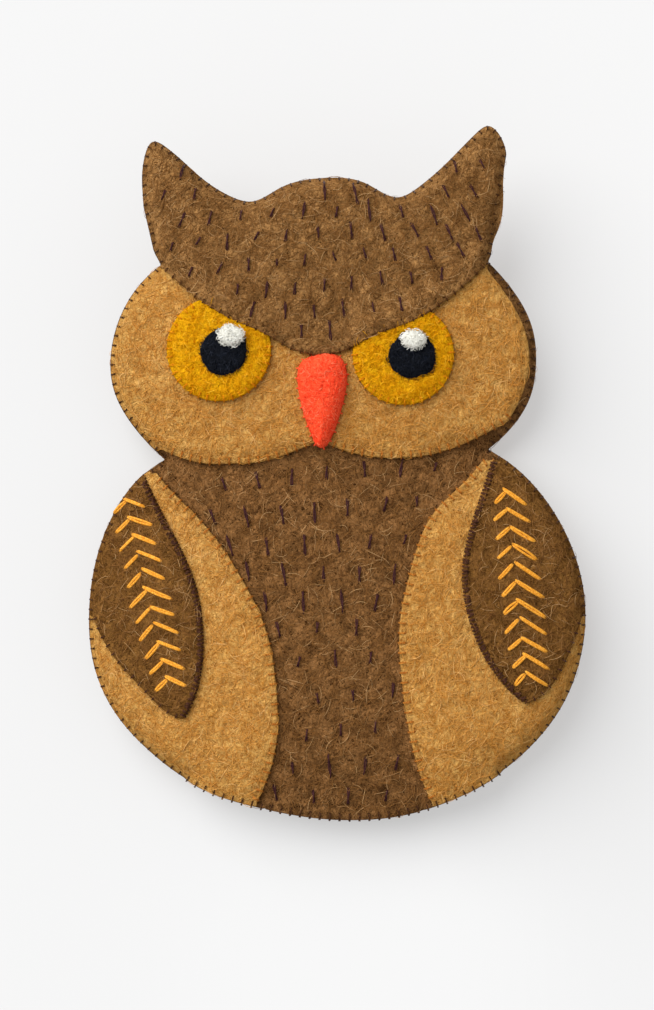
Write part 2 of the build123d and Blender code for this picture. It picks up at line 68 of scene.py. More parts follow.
# ---- how the felt lies ----------------------------------------------------------------------
PINCHED = 0.62          # share of its thickness that felt keeps under a seam
PINCH_WIDTH = 5.0       # distance from the seam at which it has all of it again
PUFF_WIDTH = 15.0       # distance from the seam at which the glove has its full depth
PUFF_START = 0.8        # the two panels touch this far in from the seam
BACK_LIFT = 1.8         # the back panel curls forward by this much at its edge
BACK_LIFT_WIDTH = 12.0
WRINKLES = ((0.45, 60.0, 3), (0.22, 22.0, 4), (0.13, 12.0, 5))  # height, length and seed of each wave
HEM_OPEN = 0.75         # share of the pocket's depth that the hem keeps
HEM_RISE = 30.0         # height over which the pocket reaches its full depth
NECK_SOFT = 9.0         # the belly runs into the head over this much above and below the neck
SEWN_HALF = 58.0        # the hem is open within this distance of the middle
SEWN_BELOW = 22.0       # and below this height
PUFF_IN = 4.0           # distance from a puffed piece's edge to its full height
IRIS_PUFF = 0.6         # height that the irises are puffed up
IRIS_SWELL = 0.7        # layers by which the cap rises over an iris
EDGE_DENT = (0.85, 1.5)  # depth and radius of the dent at an edge stitch
BACK_DENT = (0.35, 1.2)
SEED_DENT = (0.6, 1.9)
EDGE_ROUND = 1.1        # radius of a cut edge
EDGE_RINGS = (0.12, 0.35, 0.7, 1.15)
EDGE_STEP = 0.8         # spacing of the points along an edge
EDGE_SHARED = 1e-4      # points this near the edge belong to both sides of a sheet
GRID_STEP = 1.7         # spacing of the points inside a sheet
JOIN_REACH = 2.0        # a fold line that ends this near an edge is joined to it
TUCK = 5.0              # the face and the irises go this far under the cap
BROW_DRAPE = 8.0        # the cap comes down off them over this distance
NECK_DROP = 8.0         # in the middle the bend starts this far below the neck joint
STITCH_PITCH = 3.6      # distance between blanket stitches
IRIS_PITCH = 3.2        # and between those round an iris
RIM_IN = 0.2            # threads go over the rim this far inside the outline
BESIDE_RIM = 2.5        # and lie over the felt that is topmost this far in
CHIN_REACH = 16.0       # the chin's stitches go this far up from the neck
FLOSS_RADIUS = 0.6      # half thickness of the embroidery floss
OVERCAST_PITCH = 1.3    # and between the crowded ones along the coverts' inner edges
OVERCAST_FACING = 0.45  # an edge is an inner one if its inward direction points this much sideways
RIGHT_ARM_REACH = 2.3   # a chevron's right arm starts this far past its CAD bar
LEFT_ARM_REACH = 0.4
FOLD_REACH = 5.0        # a CAD edge this near a fold line, and this parallel to it, is a cut along it
FOLD_PARALLEL = 0.97
MAP_STEP = 1.0          # grid of the distance maps
MAP_MARGIN = 6.0
SPREAD_REACH = 1.6      # an applique edge this near the outline
SPREAD_LEFT = 0.35      # is drawn this far inside it
CLEAR_OF_RIM = 2.0      # an applique has its own edge stitches this far from the outline


# ---- small helpers --------------------------------------------------------------------------
def soft(share):
    """0 to 1 with a smooth start and end."""
    share = np.clip(share, 0.0, 1.0)
    return share * share * (3.0 - 2.0 * share)


def mix(first, second, share):
    return first + (second - first) * share


def unit(vectors):
    """The same directions, one unit long."""
    return vectors / np.maximum(np.linalg.norm(vectors, axis=-1, keepdims=True), 1e-9)


def waves(points, length, seed, count=7):
    """A smooth random field over (x, z) points, from about -1 to 1."""
    made = np.random.default_rng(seed)
    total = np.zeros(len(points))
    for _ in range(count):
        angle = made.uniform(0, 2 * math.pi)
        size = made.uniform(0.7, 1.5) * length
        phase = made.uniform(0, 2 * math.pi)
        run = points[:, 0] * math.cos(angle) + points[:, 1] * math.sin(angle)
        total += np.sin(2 * math.pi * run / size + phase)
    return total / math.sqrt(count * 2)


def resample(path, step, closed=True):
    """The path again with evenly spaced points."""
    if closed:
        path = np.vstack([path, path[:1]])
    gaps = np.linalg.norm(np.diff(path, axis=0), axis=1)
    travel = np.concatenate([[0.0], np.cumsum(gaps)])
    count = max(3, round(travel[-1] / step))
    places = np.linspace(0.0, travel[-1], count + 1)
    if closed:
        places = places[:-1]
    columns = [np.interp(places, travel, path[:, axis]) for axis in range(path.shape[1])]
    return np.column_stack(columns)


def nearest_corner(points, path):
    """Which corner of a path is nearest to each (x, z) point."""
    tree = KDTree(len(path))
    for number, (x, z) in enumerate(path.tolist()):
        tree.insert((x, z, 0.0), number)
    tree.balance()
    return np.array([tree.find((x, z, 0.0))[1] for x, z in points.tolist()])


def distance_to_path(points, path, closed=True):
    """Distance from each (x, z) point to an evenly drawn path."""
    corner = nearest_corner(points, path)
    best = np.full(len(points), np.inf)
    for step in (-1, 0):
        first = corner + step
        first = first % len(path) if closed else np.clip(first, 0, len(path) - 2)
        start = path[first]
        run = path[(first + 1) % len(path)] - start
        square = np.maximum((run ** 2).sum(1), 1e-12)
        share = np.clip(((points - start) * run).sum(1) / square, 0.0, 1.0)
        best = np.minimum(best, np.linalg.norm(points - start - share[:, None] * run, axis=1))
    return best


def inside(points, loop):
    """Whether each (x, z) point is inside a closed loop."""
    first, second = loop, np.roll(loop, -1, axis=0)
    rise = np.where(second[:, 1] == first[:, 1], 1e-9, second[:, 1] - first[:, 1])
    found = np.zeros(len(points), bool)
    low, high = loop.min(0), loop.max(0)
    near = np.flatnonzero(((points > low) & (points < high)).all(1))
    for some in np.array_split(near, max(1, len(near) // 4000)):
        x, z = points[some, :1], points[some, 1:]
        spans = (first[:, 1] > z) != (second[:, 1] > z)
        cross_x = first[:, 0] + (z - first[:, 1]) / rise * (second[:, 0] - first[:, 0])
        found[some] = (spans & (x < cross_x)).sum(1) % 2 == 1
    return found


def crossings(xs, zs):
    """The (x, z) points of a grid."""
    return np.stack(np.meshgrid(xs, zs, indexing="ij"), axis=-1).reshape(-1, 2)


def anticlockwise(loop):
    after = np.roll(loop, -1, axis=0)
    area = (loop[:, 0] * after[:, 1] - after[:, 0] * loop[:, 1]).sum()
    return loop if area > 0 else loop[::-1]


def inward(loop):
    """Unit direction into an anticlockwise loop at each of its points."""
    run = np.roll(loop, -1, axis=0) - np.roll(loop, 1, axis=0)
    return unit(np.column_stack([-run[:, 1], run[:, 0]]))


# ---- reading shapes off the CAD frame -------------------------------------------------------
def cad_mesh(node):
    """Corners in millimetres and triangles of a CAD node, with shared corners joined."""
    mesh = frame["nodes"][node].data
    mesh.calc_loop_triangles()
    places = np.array([vertex.co for vertex in mesh.vertices]) / MM
    triangles = np.array([triangle.vertices for triangle in mesh.loop_triangles])
    joined, index = np.unique(np.round(places, 3), axis=0, return_inverse=True)
    return joined, index.reshape(-1)[triangles]


def face_normals(points, triangles):
    """What each triangle faces, twice as long as its area. For flat points, twice the area."""
    first, second, third = (points[triangles[:, corner]] for corner in range(3))
    return np.cross(second - first, third - first)


def front_faces(node, tilt=-0.3):
    """Corners and the triangles that face the front."""
    places, triangles = cad_mesh(node)
    normals = face_normals(places, triangles)
    sizes = np.linalg.norm(normals, axis=1)
    facing = (sizes > 1e-9) & (normals[:, 1] < tilt * sizes)
    return places, triangles[facing]


def front_loop(node):
    """The outline of a CAD node seen from the front, as (x, z) points."""
    places, triangles = front_faces(node)
    edges = {(int(a), int(b)) for t in triangles for a, b in ((t[0], t[1]), (t[1], t[2]), (t[2], t[0]))}
    following = {a: b for a, b in edges if (b, a) not in edges}
    loops = []
    while following:
        start, here = following.popitem()
        loop = [start]
        while here in following and here != start:
            loop.append(here)
            here = following.pop(here)
        loops.append(loop)
    longest = max(loops, key=len)
    return anticlockwise(resample(places[longest][:, [0, 2]], EDGE_STEP))


def kept_arcs(loop, keep):
    """The runs of a loop whose points are kept."""
    if keep.all():
        return [loop]
    start = int(np.argmin(keep))
    loop, keep = np.roll(loop, -start, axis=0), np.roll(keep, -start)
    changes = np.flatnonzero(np.diff(keep)) + 1
    return [arc for arc in np.split(loop, changes)[1::2] if len(arc) > 2]


def on_fold(loop):
    """Which points of a loop lie along one of the fold lines that divide the CAD panels."""
    run = unit(np.roll(loop, -1, axis=0) - np.roll(loop, 1, axis=0))
    found = np.zeros(len(loop), bool)
    for joint in frame["joints"]:
        place = np.array(joint["pos_m"])[[0, 2]] / MM
        along = np.array(joint["axis"])[[0, 2]]
        apart = np.abs((loop - place) @ np.array([-along[1], along[0]]))
        found |= (apart < FOLD_REACH) & (np.abs(run @ along) > FOLD_PARALLEL)
    return found


def joined_loop(nodes):
    """The outline of several CAD nodes that meet along fold lines, as one loop."""
    arcs = []
    for node in nodes:
        loop = front_loop(node)
        arcs += kept_arcs(loop, ~on_fold(loop))
    whole = [arcs.pop(0)]
    while arcs:
        end = whole[-1][-1]
        nearest = min(range(len(arcs)), key=lambda number: np.linalg.norm(arcs[number][0] - end))
        whole.append(arcs.pop(nearest))
    return anticlockwise(resample(np.vstack(whole), EDGE_STEP))


def ball(node):
    """Centre and radius of the ball that a CAD node's front face is part of."""
    places, triangles = front_faces(node, tilt=-0.7)
    corners = places[np.unique(triangles)]
    matrix = np.column_stack([2 * corners, np.ones(len(corners))])
    solved = np.linalg.lstsq(matrix, (corners ** 2).sum(1), rcond=None)[0]
    centre = solved[:3]
    return centre, math.sqrt(solved[3] + centre @ centre)


def circle(node):
    """Centre x, centre z and radius of a round CAD node whose lower half shows."""
    low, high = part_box(node)
    radius = (high.x - low.x) / 2 / MM
    return (high.x + low.x) / 2 / MM, low.z / MM + radius, radius


def joint_place(name):
    for joint in frame["joints"]:
        if joint["name"] == name:
            return np.array(joint["pos_m"]) / MM
    raise KeyError(name)


FRONT_NODES = ("front_panel_head", "front_panel_wing_left", "front_panel_middle", "front_panel_wing_right")
BACK_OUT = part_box("back_panel_head")[1].y / MM
BACK_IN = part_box("back_panel_head")[0].y / MM
FELT = BACK_OUT - BACK_IN
BELLY_BALL = ball("front_panel_middle")
HEAD_BALL = ball("front_panel_head")
NECK_Z = joint_place("head_nod")[2]
FLAP_Z = joint_place("hand_opening")[2]
OUTLINE = joined_loop(FRONT_NODES)
FACE_CAD = front_loop("face_panel")
CAP_CAD = front_loop("head_cap")
SIDES = {"left": -1, "right": 1}
WING_CAD = {name: joined_loop(("wing_" + name + "_inner", "wing_" + name + "_outer")) for name in SIDES}
COVERT_CAD = {name: front_loop("covert_" + name) for name in SIDES}
BEAK_LOOP = front_loop("beak_shell")


def brow_run():
    """The cap's lower edge, from left to right."""
    arc = max(kept_arcs(CAP_CAD, distance_to_path(CAP_CAD, OUTLINE) > 2.0), key=len)
    return arc[np.argsort(arc[:, 0])]


BROW = brow_run()


def brow_z(x):
    return np.interp(x, BROW[:, 0], BROW[:, 1])


def at_opening(points):
    """Which places on the outline are on the hem, where front and back aren't sewn together."""
    return (np.abs(points[:, 0]) < SEWN_HALF) & (points[:, 1] < SEWN_BELOW)


def sewn_run():
    """The sewn part of the outline, from one end of the hem opening round the head to the other."""
    open_hem = at_opening(OUTLINE)
    start = int(np.argmax(open_hem & ~np.roll(open_hem, -1)))
    return np.roll(OUTLINE, -start - 1, axis=0)[:int((~open_hem).sum())]


SEWN = sewn_run()


class DistanceMap:
    """Distances from a path, worked out once on a square grid over the puppet."""

    def __init__(self, path, closed):
        self.low = OUTLINE.min(0) - MAP_MARGIN
        self.count = np.ceil((OUTLINE.max(0) + MAP_MARGIN - self.low) / MAP_STEP).astype(int) + 1
        xs = self.low[0] + MAP_STEP * np.arange(self.count[0])
        zs = self.low[1] + MAP_STEP * np.arange(self.count[1])
        spots = crossings(xs, zs)
        self.values = distance_to_path(spots, path, closed).reshape(self.count)

    def read(self, points):
        place = (points - self.low) / MAP_STEP
        cell = np.clip(np.floor(place).astype(int), 0, self.count - 2)
        share = place - cell
        x, z = cell[:, 0], cell[:, 1]
        lower = mix(self.values[x, z], self.values[x + 1, z], share[:, 0])
        upper = mix(self.values[x, z + 1], self.values[x + 1, z + 1], share[:, 0])
        return mix(lower, upper, share[:, 1])


FROM_SEAM = DistanceMap(SEWN, closed=False)
FROM_OUTLINE = DistanceMap(OUTLINE, closed=True)


# ---- the surfaces ---------------------------------------------------------------------------
def ball_y(shape, points):
    centre, radius = shape
    reach = radius ** 2 - (points[:, 0] - centre[0]) ** 2 - (points[:, 1] - centre[2]) ** 2
    return centre[1] - np.sqrt(reach)


def thickness(sewn):
    return FELT * mix(PINCHED, 1.0, soft(sewn / PINCH_WIDTH))


def pillow(sewn):
    """Share of the pocket's depth at a distance from the seam."""
    left = 1.0 - np.clip((sewn - PUFF_START) / PUFF_WIDTH, 0.0, 1.0)
    return np.sqrt(np.maximum(0.0, 1.0 - left ** 2))


def back_inside(points, sewn):
    return BACK_IN - BACK_LIFT * (1.0 - soft(sewn / BACK_LIFT_WIDTH))


def skin(points, level):
    """y of the felt's surface at (x, z) points on top of level sheets of felt over the pocket."""
    sewn = FROM_SEAM.read(points)
    share = soft((points[:, 1] - NECK_Z + NECK_SOFT) / (2 * NECK_SOFT))
    front = mix(ball_y(BELLY_BALL, points), ball_y(HEAD_BALL, points), share) + FELT
    hem = mix(HEM_OPEN, 1.0, soft(points[:, 1] / HEM_RISE))
    depth = (BACK_IN - front) * hem
    for height, length, seed in WRINKLES:
        depth += height * waves(points, length, seed)
    return back_inside(points, sewn) - depth * pillow(sewn) - level * thickness(sewn)


def back_skin(points, outside):
    """y of the back panel's outside or inside surface."""
    sewn = FROM_OUTLINE.read(points)
    return back_inside(points, sewn) + (thickness(sewn) if outside else 0.0)


def cap_level(points):
    """Layers up to the top of the cap, which lies over the face and the irises along the brow."""
    above = points[:, 1] - brow_z(points[:, 0])
    drape = soft((TUCK + BROW_DRAPE - above) / BROW_DRAPE)
    level = 2.0 + drape
    for name in SIDES:
        x, z, radius = circle("iris_" + name)
        apart = np.hypot(points[:, 0] - x, points[:, 1] - z) - radius
        level += IRIS_SWELL * soft((4.0 - apart) / 8.0) * drape
    return level


def top_level(points):
    """Layers up to the topmost felt at (x, z) points."""
    level = np.ones(len(points))
    for loop in (FACE_LOOP, *WING_LOOPS.values()):
        level[inside(points, loop)] = 2.0
    for loop in (*COVERT_LOOPS.values(), *IRIS_LOOPS.values()):
        level[inside(points, loop)] = 3.0
    in_cap = inside(points, CAP_LOOP)
    level[in_cap] = cap_level(points[in_cap])
    return level


def spread(loop):
    """The loop with the parts that follow the outline moved out almost to it."""
    apart = distance_to_path(loop, OUTLINE)
    moved = loop - np.maximum(apart - SPREAD_LEFT, 0.0)[:, None] * inward(loop)
    return resample(np.where((apart < SPREAD_REACH)[:, None], moved, loop), EDGE_STEP)


def iris_loop(name):
    """A round iris, cut off where it goes under the cap."""
    x, z, radius = circle("iris_" + name)
    turn = np.linspace(0.0, 2 * math.pi, round(2 * math.pi * radius / EDGE_STEP), endpoint=False)
    loop = np.column_stack([x + radius * np.cos(turn), z + radius * np.sin(turn)])
    loop[:, 1] = np.minimum(loop[:, 1], brow_z(loop[:, 0]) + TUCK - 1.0)
    return loop


def face_loop():
    """The face, with its upper edge moved up under the cap."""
    loop = FACE_CAD.copy()
    at_brow = distance_to_path(loop, BROW, closed=False) < 1.5
    loop[at_brow, 1] += TUCK
    return spread(resample(loop, EDGE_STEP))


FACE_LOOP = face_loop()
CAP_LOOP = spread(CAP_CAD)
WING_LOOPS = {name: spread(WING_CAD[name]) for name in SIDES}
COVERT_LOOPS = {name: spread(COVERT_CAD[name]) for name in SIDES}
IRIS_LOOPS = {name: iris_loop(name) for name in SIDES}


# ---- meshes ---------------------------------------------------------------------------------
def hexagon_grid(loop, step):
    """Evenly spread (x, z) points over the box round a loop."""
    low, high = loop.min(0), loop.max(0)
    rows = np.arange(low[1], high[1], step * math.sqrt(3) / 2)
    points = []
    for number, z in enumerate(rows):
        xs = np.arange(low[0] + 0.5 * step * (number % 2), high[0], step)
        points.append(np.column_stack([xs, np.full(len(xs), z)]))
    return np.vstack(points)


def sheet_lines(loop, lines, step):
    """The points of lines inside a loop, and the edges that join them to each other and the loop."""
    total = len(loop)
    inner = []
    edges = []
    for line in lines:
        ends = [int(np.argmin(np.linalg.norm(loop - end, axis=1))) for end in (line[0], line[-1])]
        joined = [int(np.linalg.norm(loop[end] - line[at]) < JOIN_REACH) for end, at in zip(ends, (0, -1))]
        run = resample(np.array(line), step, closed=False)
        run = run[joined[0]:len(run) - joined[1]]
        chain = ends[:joined[0]] + list(range(total, total + len(run))) + ends[2 - joined[1]:]
        edges += list(zip(chain, chain[1:]))
        inner.append(run)
        total += len(run)
    return inner, edges


def sheet_filling(loop, lines, step):
    """Points inside a loop: close rings along its edge, an even grid in the middle."""
    fill = []
    for ring in EDGE_RINGS:
        moved = loop + ring * inward(loop)
        fill.append(moved[distance_to_path(moved, loop) > 0.9 * ring])
    grid = hexagon_grid(loop, step)
    grid = grid[inside(grid, loop)]
    fill.append(grid[distance_to_path(grid, loop) > EDGE_RINGS[-1] + 0.6])
    fill = np.vstack(fill)
    for line in lines:
        run = resample(np.array(line), step, closed=False)
        fill = fill[distance_to_path(fill, run, closed=False) > 0.3]
    return fill


def cut_sheet(loop, lines=(), step=GRID_STEP):
    """Triangles over the inside of a loop, with edges along the given lines.
    Returns the (x, z) points, the triangles and each point's distance from the loop."""
    loop = anticlockwise(loop)
    count = len(loop)
    inner, edges = sheet_lines(loop, lines, step)
    edges = [(number, (number + 1) % count) for number in range(count)] + edges
    flat = np.vstack([loop, *inner, sheet_filling(loop, lines, step)])
    made = delaunay_2d_cdt([Vector(p) for p in flat.tolist()], edges, [], 1, 1e-5)
    flat = np.array([(p.x, p.y) for p in made[0]])
    triangles = np.array([face for face in made[2] if len(face) == 3])
    area = face_normals(flat, triangles)
    triangles = np.where((area > 0)[:, None], triangles, triangles[:, ::-1])[np.abs(area) > 1e-7]
    return flat, triangles, distance_to_path(flat, loop)


def rounded(distance, top, bottom):
    """The y of a sheet's two sides, drawn together at its cut edge."""
    left = 1.0 - np.clip(distance / EDGE_ROUND, 0.0, 1.0)
    half = (bottom - top) / 2 * np.sqrt(np.maximum(0.0, 1.0 - left ** 2))
    middle = (top + bottom) / 2
    return middle - half, middle + half


def closed(flat, triangles, distance, upper, lower):
    """A closed skin from the y of a sheet's two sides, as points, triangles and normals.
    The sides share the points on the sheet's edge."""
    inner = distance > EDGE_SHARED
    under = np.arange(len(flat))
    under[inner] = len(flat) + np.arange(int(inner.sum()))
    top = np.column_stack([flat[:, 0], upper, flat[:, 1]])
    bottom = np.column_stack([flat[:, 0], lower, flat[:, 1]])
    points = np.vstack([top, bottom[inner]])
    faces = np.vstack([triangles, under[triangles][:, ::-1]])
    return points, faces, vertex_normals(points, faces)


def vertex_normals(points, triangles):
    total = np.zeros_like(points)
    for corner in range(3):
        np.add.at(total, triangles[:, corner], face_normals(points, triangles))
    return unit(total)


def part_of(points, triangles, normals, keep):
    """The triangles kept, with only the points they use."""
    chosen = triangles[keep]
    used, index = np.unique(chosen, return_inverse=True)
    return points[used], index.reshape(chosen.shape), normals[used]


# ---- where the puppet bends -----------------------------------------------------------------
def notch(side):
    """The corner between head and wing on one side."""
    near = OUTLINE[(np.abs(OUTLINE[:, 1] - NECK_Z) < 12.0) & (OUTLINE[:, 0] * side > 0)]
    return near[np.argmin(np.abs(near[:, 0]))]


NOTCH = {name: notch(side) for name, side in SIDES.items()}
CHEST_TOP = np.array([0.0, NECK_Z - NECK_DROP])
FOOT = {name: joint_place("wing_" + name + "_flap")[[0, 2]] for name in SIDES}
HEM_MIDDLE = OUTLINE[np.argmin(np.abs(OUTLINE[:, 0]) + 10.0 * (OUTLINE[:, 1] > NECK_Z))]
CROWN = OUTLINE[np.argmin(np.abs(OUTLINE[:, 0]) + 10.0 * (OUTLINE[:, 1] < NECK_Z))]
FLAP_TOP = np.array([0.0, FLAP_Z])


def across(first, second, toward):
    """Unit direction square to a line, pointing to the side that toward is on."""
    run = (second - first) / np.linalg.norm(second - first)
    side = np.array([-run[1], run[0]])
    return side if (toward - first) @ side > 0 else -side


def beyond(points, first, second, toward):
    """Distance past a line on the side that toward is on."""
    return (points - first) @ across(first, second, toward)


def ride(body):
    """A way to place a piece: it moves with one body."""
    return lambda piece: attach(piece, body)


def bend(first, second, toward):
    """A way to place a piece: it stays where it is, with its place baked into its mesh. It is not
    put on a body, and the side of the line worked out here is not used."""
    side = across(first, second, toward)
    return lambda piece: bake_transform(piece)


ON_HEAD = ride("head")
ON_TORSO = ride("torso")
ASIDE = {name: np.array([side * 200.0, NECK_Z / 2]) for name, side in SIDES.items()}
OVER_NECK = {name: bend(NOTCH[name], CHEST_TOP, CROWN) for name in SIDES}
OVER_WING = {name: bend(NOTCH[name], FOOT[name], ASIDE[name]) for name in SIDES}
OVER_FLAP = {name: bend(FOOT[name], FLAP_TOP, HEM_MIDDLE) for name in SIDES}


def on_side(points, name):
    return points[:, 0] * SIDES[name] >= 0


def above_neck(points, name):
    return beyond(points, NOTCH[name], CHEST_TOP, CROWN) > 0


def in_flap(points, name):
    return beyond(points, FOOT[name], FLAP_TOP, HEM_MIDDLE) > 0


# ---- materials ------------------------------------------------------------------------------
def linear(colour):
    """An sRGB colour of 0 to 255 as the renderer's linear colour."""
    def one(value):
        value = value / 255.0
        return value / 12.92 if value <= 0.04045 else ((value + 0.055) / 1.055) ** 2.4
    return (*map(one, colour), 1.0)


class Shader:
    """A short way to build one material's nodes."""

    def __init__(self, name):
        self.material = bpy.data.materials.new(name)
        self.material.use_nodes = True
        self.tree = self.material.node_tree
        self.tree.nodes.clear()

    def node(self, kind, settings=None, **inputs):
        made = self.tree.nodes.new(kind)
        for key, value in (settings or {}).items():
            setattr(made, key, value)
        for key, value in inputs.items():
            self.put(made, key.replace("_", " "), value)
        return made

    def put(self, made, key, value):
        socket = made.inputs[int(key)] if key.isdigit() else made.inputs[key]
        if isinstance(value, bpy.types.NodeSocket):
            self.tree.links.new(value, socket)
        else:
            socket.default_value = value

    def call(self, kind, settings, *values):
        """The first output of a node from its first inputs."""
        made = self.node(kind, settings)
        for number, value in enumerate(values):
            self.put(made, str(number), value)
        return made.outputs[0]

    def math(self, operation, *values):
        return self.call("ShaderNodeMath", {"operation": operation}, *values)

    def vector(self, operation, *values):
        return self.call("ShaderNodeVectorMath", {"operation": operation}, *values)

    def ramp(self, value, low, high):
        """0 below low, 1 above high."""
        return self.call("ShaderNodeMapRange", {"interpolation_type": "SMOOTHSTEP"}, value, low, high)

    def blend(self, share, first, second):
        made = self.node("ShaderNodeMix", {"data_type": "RGBA"})
        for key, value in (("0", share), ("6", first), ("7", second)):
            self.put(made, key, value)
        return made.outputs[2]

    def noise(self, place, scale, detail=2.0, rough=0.5, output="Fac"):
        made = self.node("ShaderNodeTexNoise", Scale=scale, Detail=detail, Roughness=rough)
        self.put(made, "Vector", place)
        return made.outputs[output]

    def rest(self):
        """Where each point of the piece is while the puppet is at rest."""
        return self.node("ShaderNodeAttribute", {"attribute_name": "rest"}).outputs["Vector"]

    def finish(self, colour, roughness, specular, height=None, strength=1.0, distance=0.0):
        """The material, with its height map standing up by distance metres."""
        surface = self.node("ShaderNodeBsdfPrincipled", Roughness=roughness)
        self.put(surface, "Base Color", colour)
        self.put(surface, "Specular IOR Level", specular)
        if height:
            raised = self.node("ShaderNodeBump", Strength=strength, Distance=distance)
            self.put(raised, "Height", height)
            self.put(surface, "Normal", raised.outputs[0])
        return self.show(surface.outputs[0])

    def show(self, surface):
        self.put(self.node("ShaderNodeOutputMaterial"), "Surface", surface)
        return self.material


def fibre(name, *colours):
    """Single wool fibres, each place on the puppet with its own mix of three colours."""
    shader = Shader(name)
    first, second, third = map(linear, colours)
    shade = shader.noise(shader.rest(), 1.7, detail=1.0)
    colour = shader.blend(shader.ramp(shade, 0.3, 0.5), first, second)
    colour = shader.blend(shader.ramp(shade, 0.56, 0.7), colour, third)
    return shader.finish(colour, 0.8, 0.1)


def warped(shader, place, scale, reach):
    """The place moved about by a smooth noise."""
    noise = shader.noise(place, scale, output="Color")
    centred = shader.vector("SUBTRACT", noise, (0.5, 0.5, 0.5))
    return shader.vector("MULTIPLY_ADD", centred, (reach, reach, reach), place)


def fibres(shader, places, lots):
    """A mask of thin wandering lines. Each lot has the place it is drawn in, the direction, length
    and width of its lines and a shift."""
    mask = None
    for kind, angle, length, width, shift in lots:
        turned = shader.node("ShaderNodeMapping", {"vector_type": "POINT"})
        shader.put(turned, "Vector", places[kind])
        shader.put(turned, "Rotation", (0.0, math.radians(angle), 0.0))
        shader.put(turned, "Location", (shift, shift, shift))
        squeezed = shader.vector("MULTIPLY", turned.outputs[0], (1.0 / length, 0.6, 1.0 / (4.0 * width)))
        noise = shader.noise(squeezed, 1.0, detail=1.5)
        off = shader.math("ABSOLUTE", shader.math("SUBTRACT", noise, 0.5))
        line = shader.ramp(off, 0.07, 0.0)
        mask = line if mask is None else shader.math("MAXIMUM", mask, line)
    return mask


PALE_LINES = (("loose", 18, 8.0, 0.17, 0), ("fine", 77, 6.0, 0.16, 31), ("loose", 141, 7.0, 0.18, 67),
              ("fine", 108, 6.0, 0.18, 12), ("fine", 48, 7.0, 0.17, 83))
DARK_LINES = (("fine", 33, 6.0, 0.17, 13), ("fine", 165, 6.0, 0.18, 45), ("loose", 92, 7.0, 0.17, 58))
FELT_RELIEF = 0.0027    # metres that a full step of the felt's height map stands up
RELIEF_SHARES = {"pale": 0.07, "grain": 0.35, "clumps": 0.9, "folds": 2.2, "dark": -0.06}


def felt(name, *colours, light_share=0.8, dark_share=0.6, relief=1.0):
    """Matted wool: a mottled colour under pale and dark fibres that also raise the surface."""
    shader = Shader(name)
    base, light, dark = map(linear, colours)
    rest = shader.rest()
    places = {"loose": warped(shader, rest, 0.2, 5.0), "fine": warped(shader, rest, 0.55, 2.2)}
    masks = {"pale": fibres(shader, places, PALE_LINES), "dark": fibres(shader, places, DARK_LINES)}
    masks["folds"] = shader.noise(rest, 0.13, detail=2.0, rough=0.5)
    patches = shader.noise(places["loose"], 0.22, detail=3.0, rough=0.6)
    masks["clumps"] = shader.noise(places["fine"], 0.6, detail=3.0, rough=0.65)
    masks["grain"] = shader.noise(places["fine"], 1.7, detail=2.0, rough=0.7)

    def times(first, second):
        return shader.math("MULTIPLY", first, second)

    thick = shader.math("ADD", 0.45, times(shader.ramp(patches, 0.38, 0.6), 0.55))
    colour = shader.blend(shader.ramp(masks["clumps"], 0.4, 0.58), dark, base)
    for share, other in ((times(shader.ramp(patches, 0.5, 0.36), 0.4), dark),
                         (times(shader.ramp(masks["grain"], 0.5, 0.62), 0.45), light),
                         (times(masks["dark"], dark_share), dark),
                         (times(times(masks["pale"], thick), light_share), light)):
        colour = shader.blend(share, colour, other)
    height = 0.0
    for kind, share in RELIEF_SHARES.items():
        height = shader.math("ADD", height, times(masks[kind], share))
    return shader.finish(colour, 1.0, 0.0, height, 1.0, FELT_RELIEF * relief)


def thread(name, *colours):
    """Cotton floss: fine streaks and a faint shine."""
    shader = Shader(name)
    base, light = map(linear, colours)
    grain = shader.noise(shader.rest(), 2.2, detail=3.0)
    colour = shader.blend(shader.ramp(grain, 0.4, 0.65), base, light)
    return shader.finish(colour, 0.6, 0.08, grain, 0.5, 0.0002)


BROWN = felt("brown_felt", (116, 72, 30), (184, 136, 82), (64, 36, 11), light_share=0.9, dark_share=0.7)
CHEST = felt("chest_felt", (84, 48, 17), (160, 114, 68), (40, 20, 5), light_share=0.9, dark_share=0.7)
COVERT = felt("covert_felt", (97, 59, 22), (152, 107, 55), (58, 33, 10))
TAN = felt("tan_felt", (198, 134, 50), (232, 182, 104), (150, 88, 24))
YELLOW = felt("yellow_felt", (226, 150, 2), (248, 188, 26), (190, 110, 1))
ORANGE = felt("orange_felt", (255, 68, 30), (255, 106, 68), (236, 50, 20),
              light_share=0.7, dark_share=0.45, relief=0.45)
NAVY = felt("navy_wool", (8, 10, 15), (32, 36, 46), (3, 4, 7))
WHITE = felt("white_wool", (222, 220, 208), (244, 244, 238), (180, 180, 168))
PLUM_THREAD = thread("plum_thread", (42, 18, 22), (72, 40, 38))
BROWN_THREAD = thread("brown_thread", (50, 27, 12), (86, 54, 28))
COVERT_THREAD = thread("covert_thread", (52, 28, 20), (88, 54, 36))
BROW_THREAD = thread("brow_thread", (66, 38, 16), (104, 68, 34))
# Tan thread, darkened partly as painted shade in the pinched gaps between the stitches along the wing edges
# and the chin
TAN_THREAD_AND_SHADE = thread("tan_thread", (142, 78, 22), (188, 122, 48))
# Yellow thread, darkened partly as painted shade in the pinched gaps between the stitches round the irises
YELLOW_THREAD_AND_SHADE = thread("yellow_thread", (190, 106, 2), (226, 150, 12))
ORANGE_THREAD = thread("orange_thread", (232, 60, 28), (250, 96, 60))
GOLD_THREAD = thread("gold_thread", (196, 124, 30), (226, 164, 62))
BROWN_FIBRE = fibre("brown_fibre", (80, 46, 16), (136, 92, 46), (192, 152, 102))
TAN_FIBRE = fibre("tan_fibre", (178, 112, 36), (212, 150, 68), (234, 186, 116))
YELLOW_FIBRE = fibre("yellow_fibre", (206, 128, 4), (236, 166, 10), (250, 196, 50))
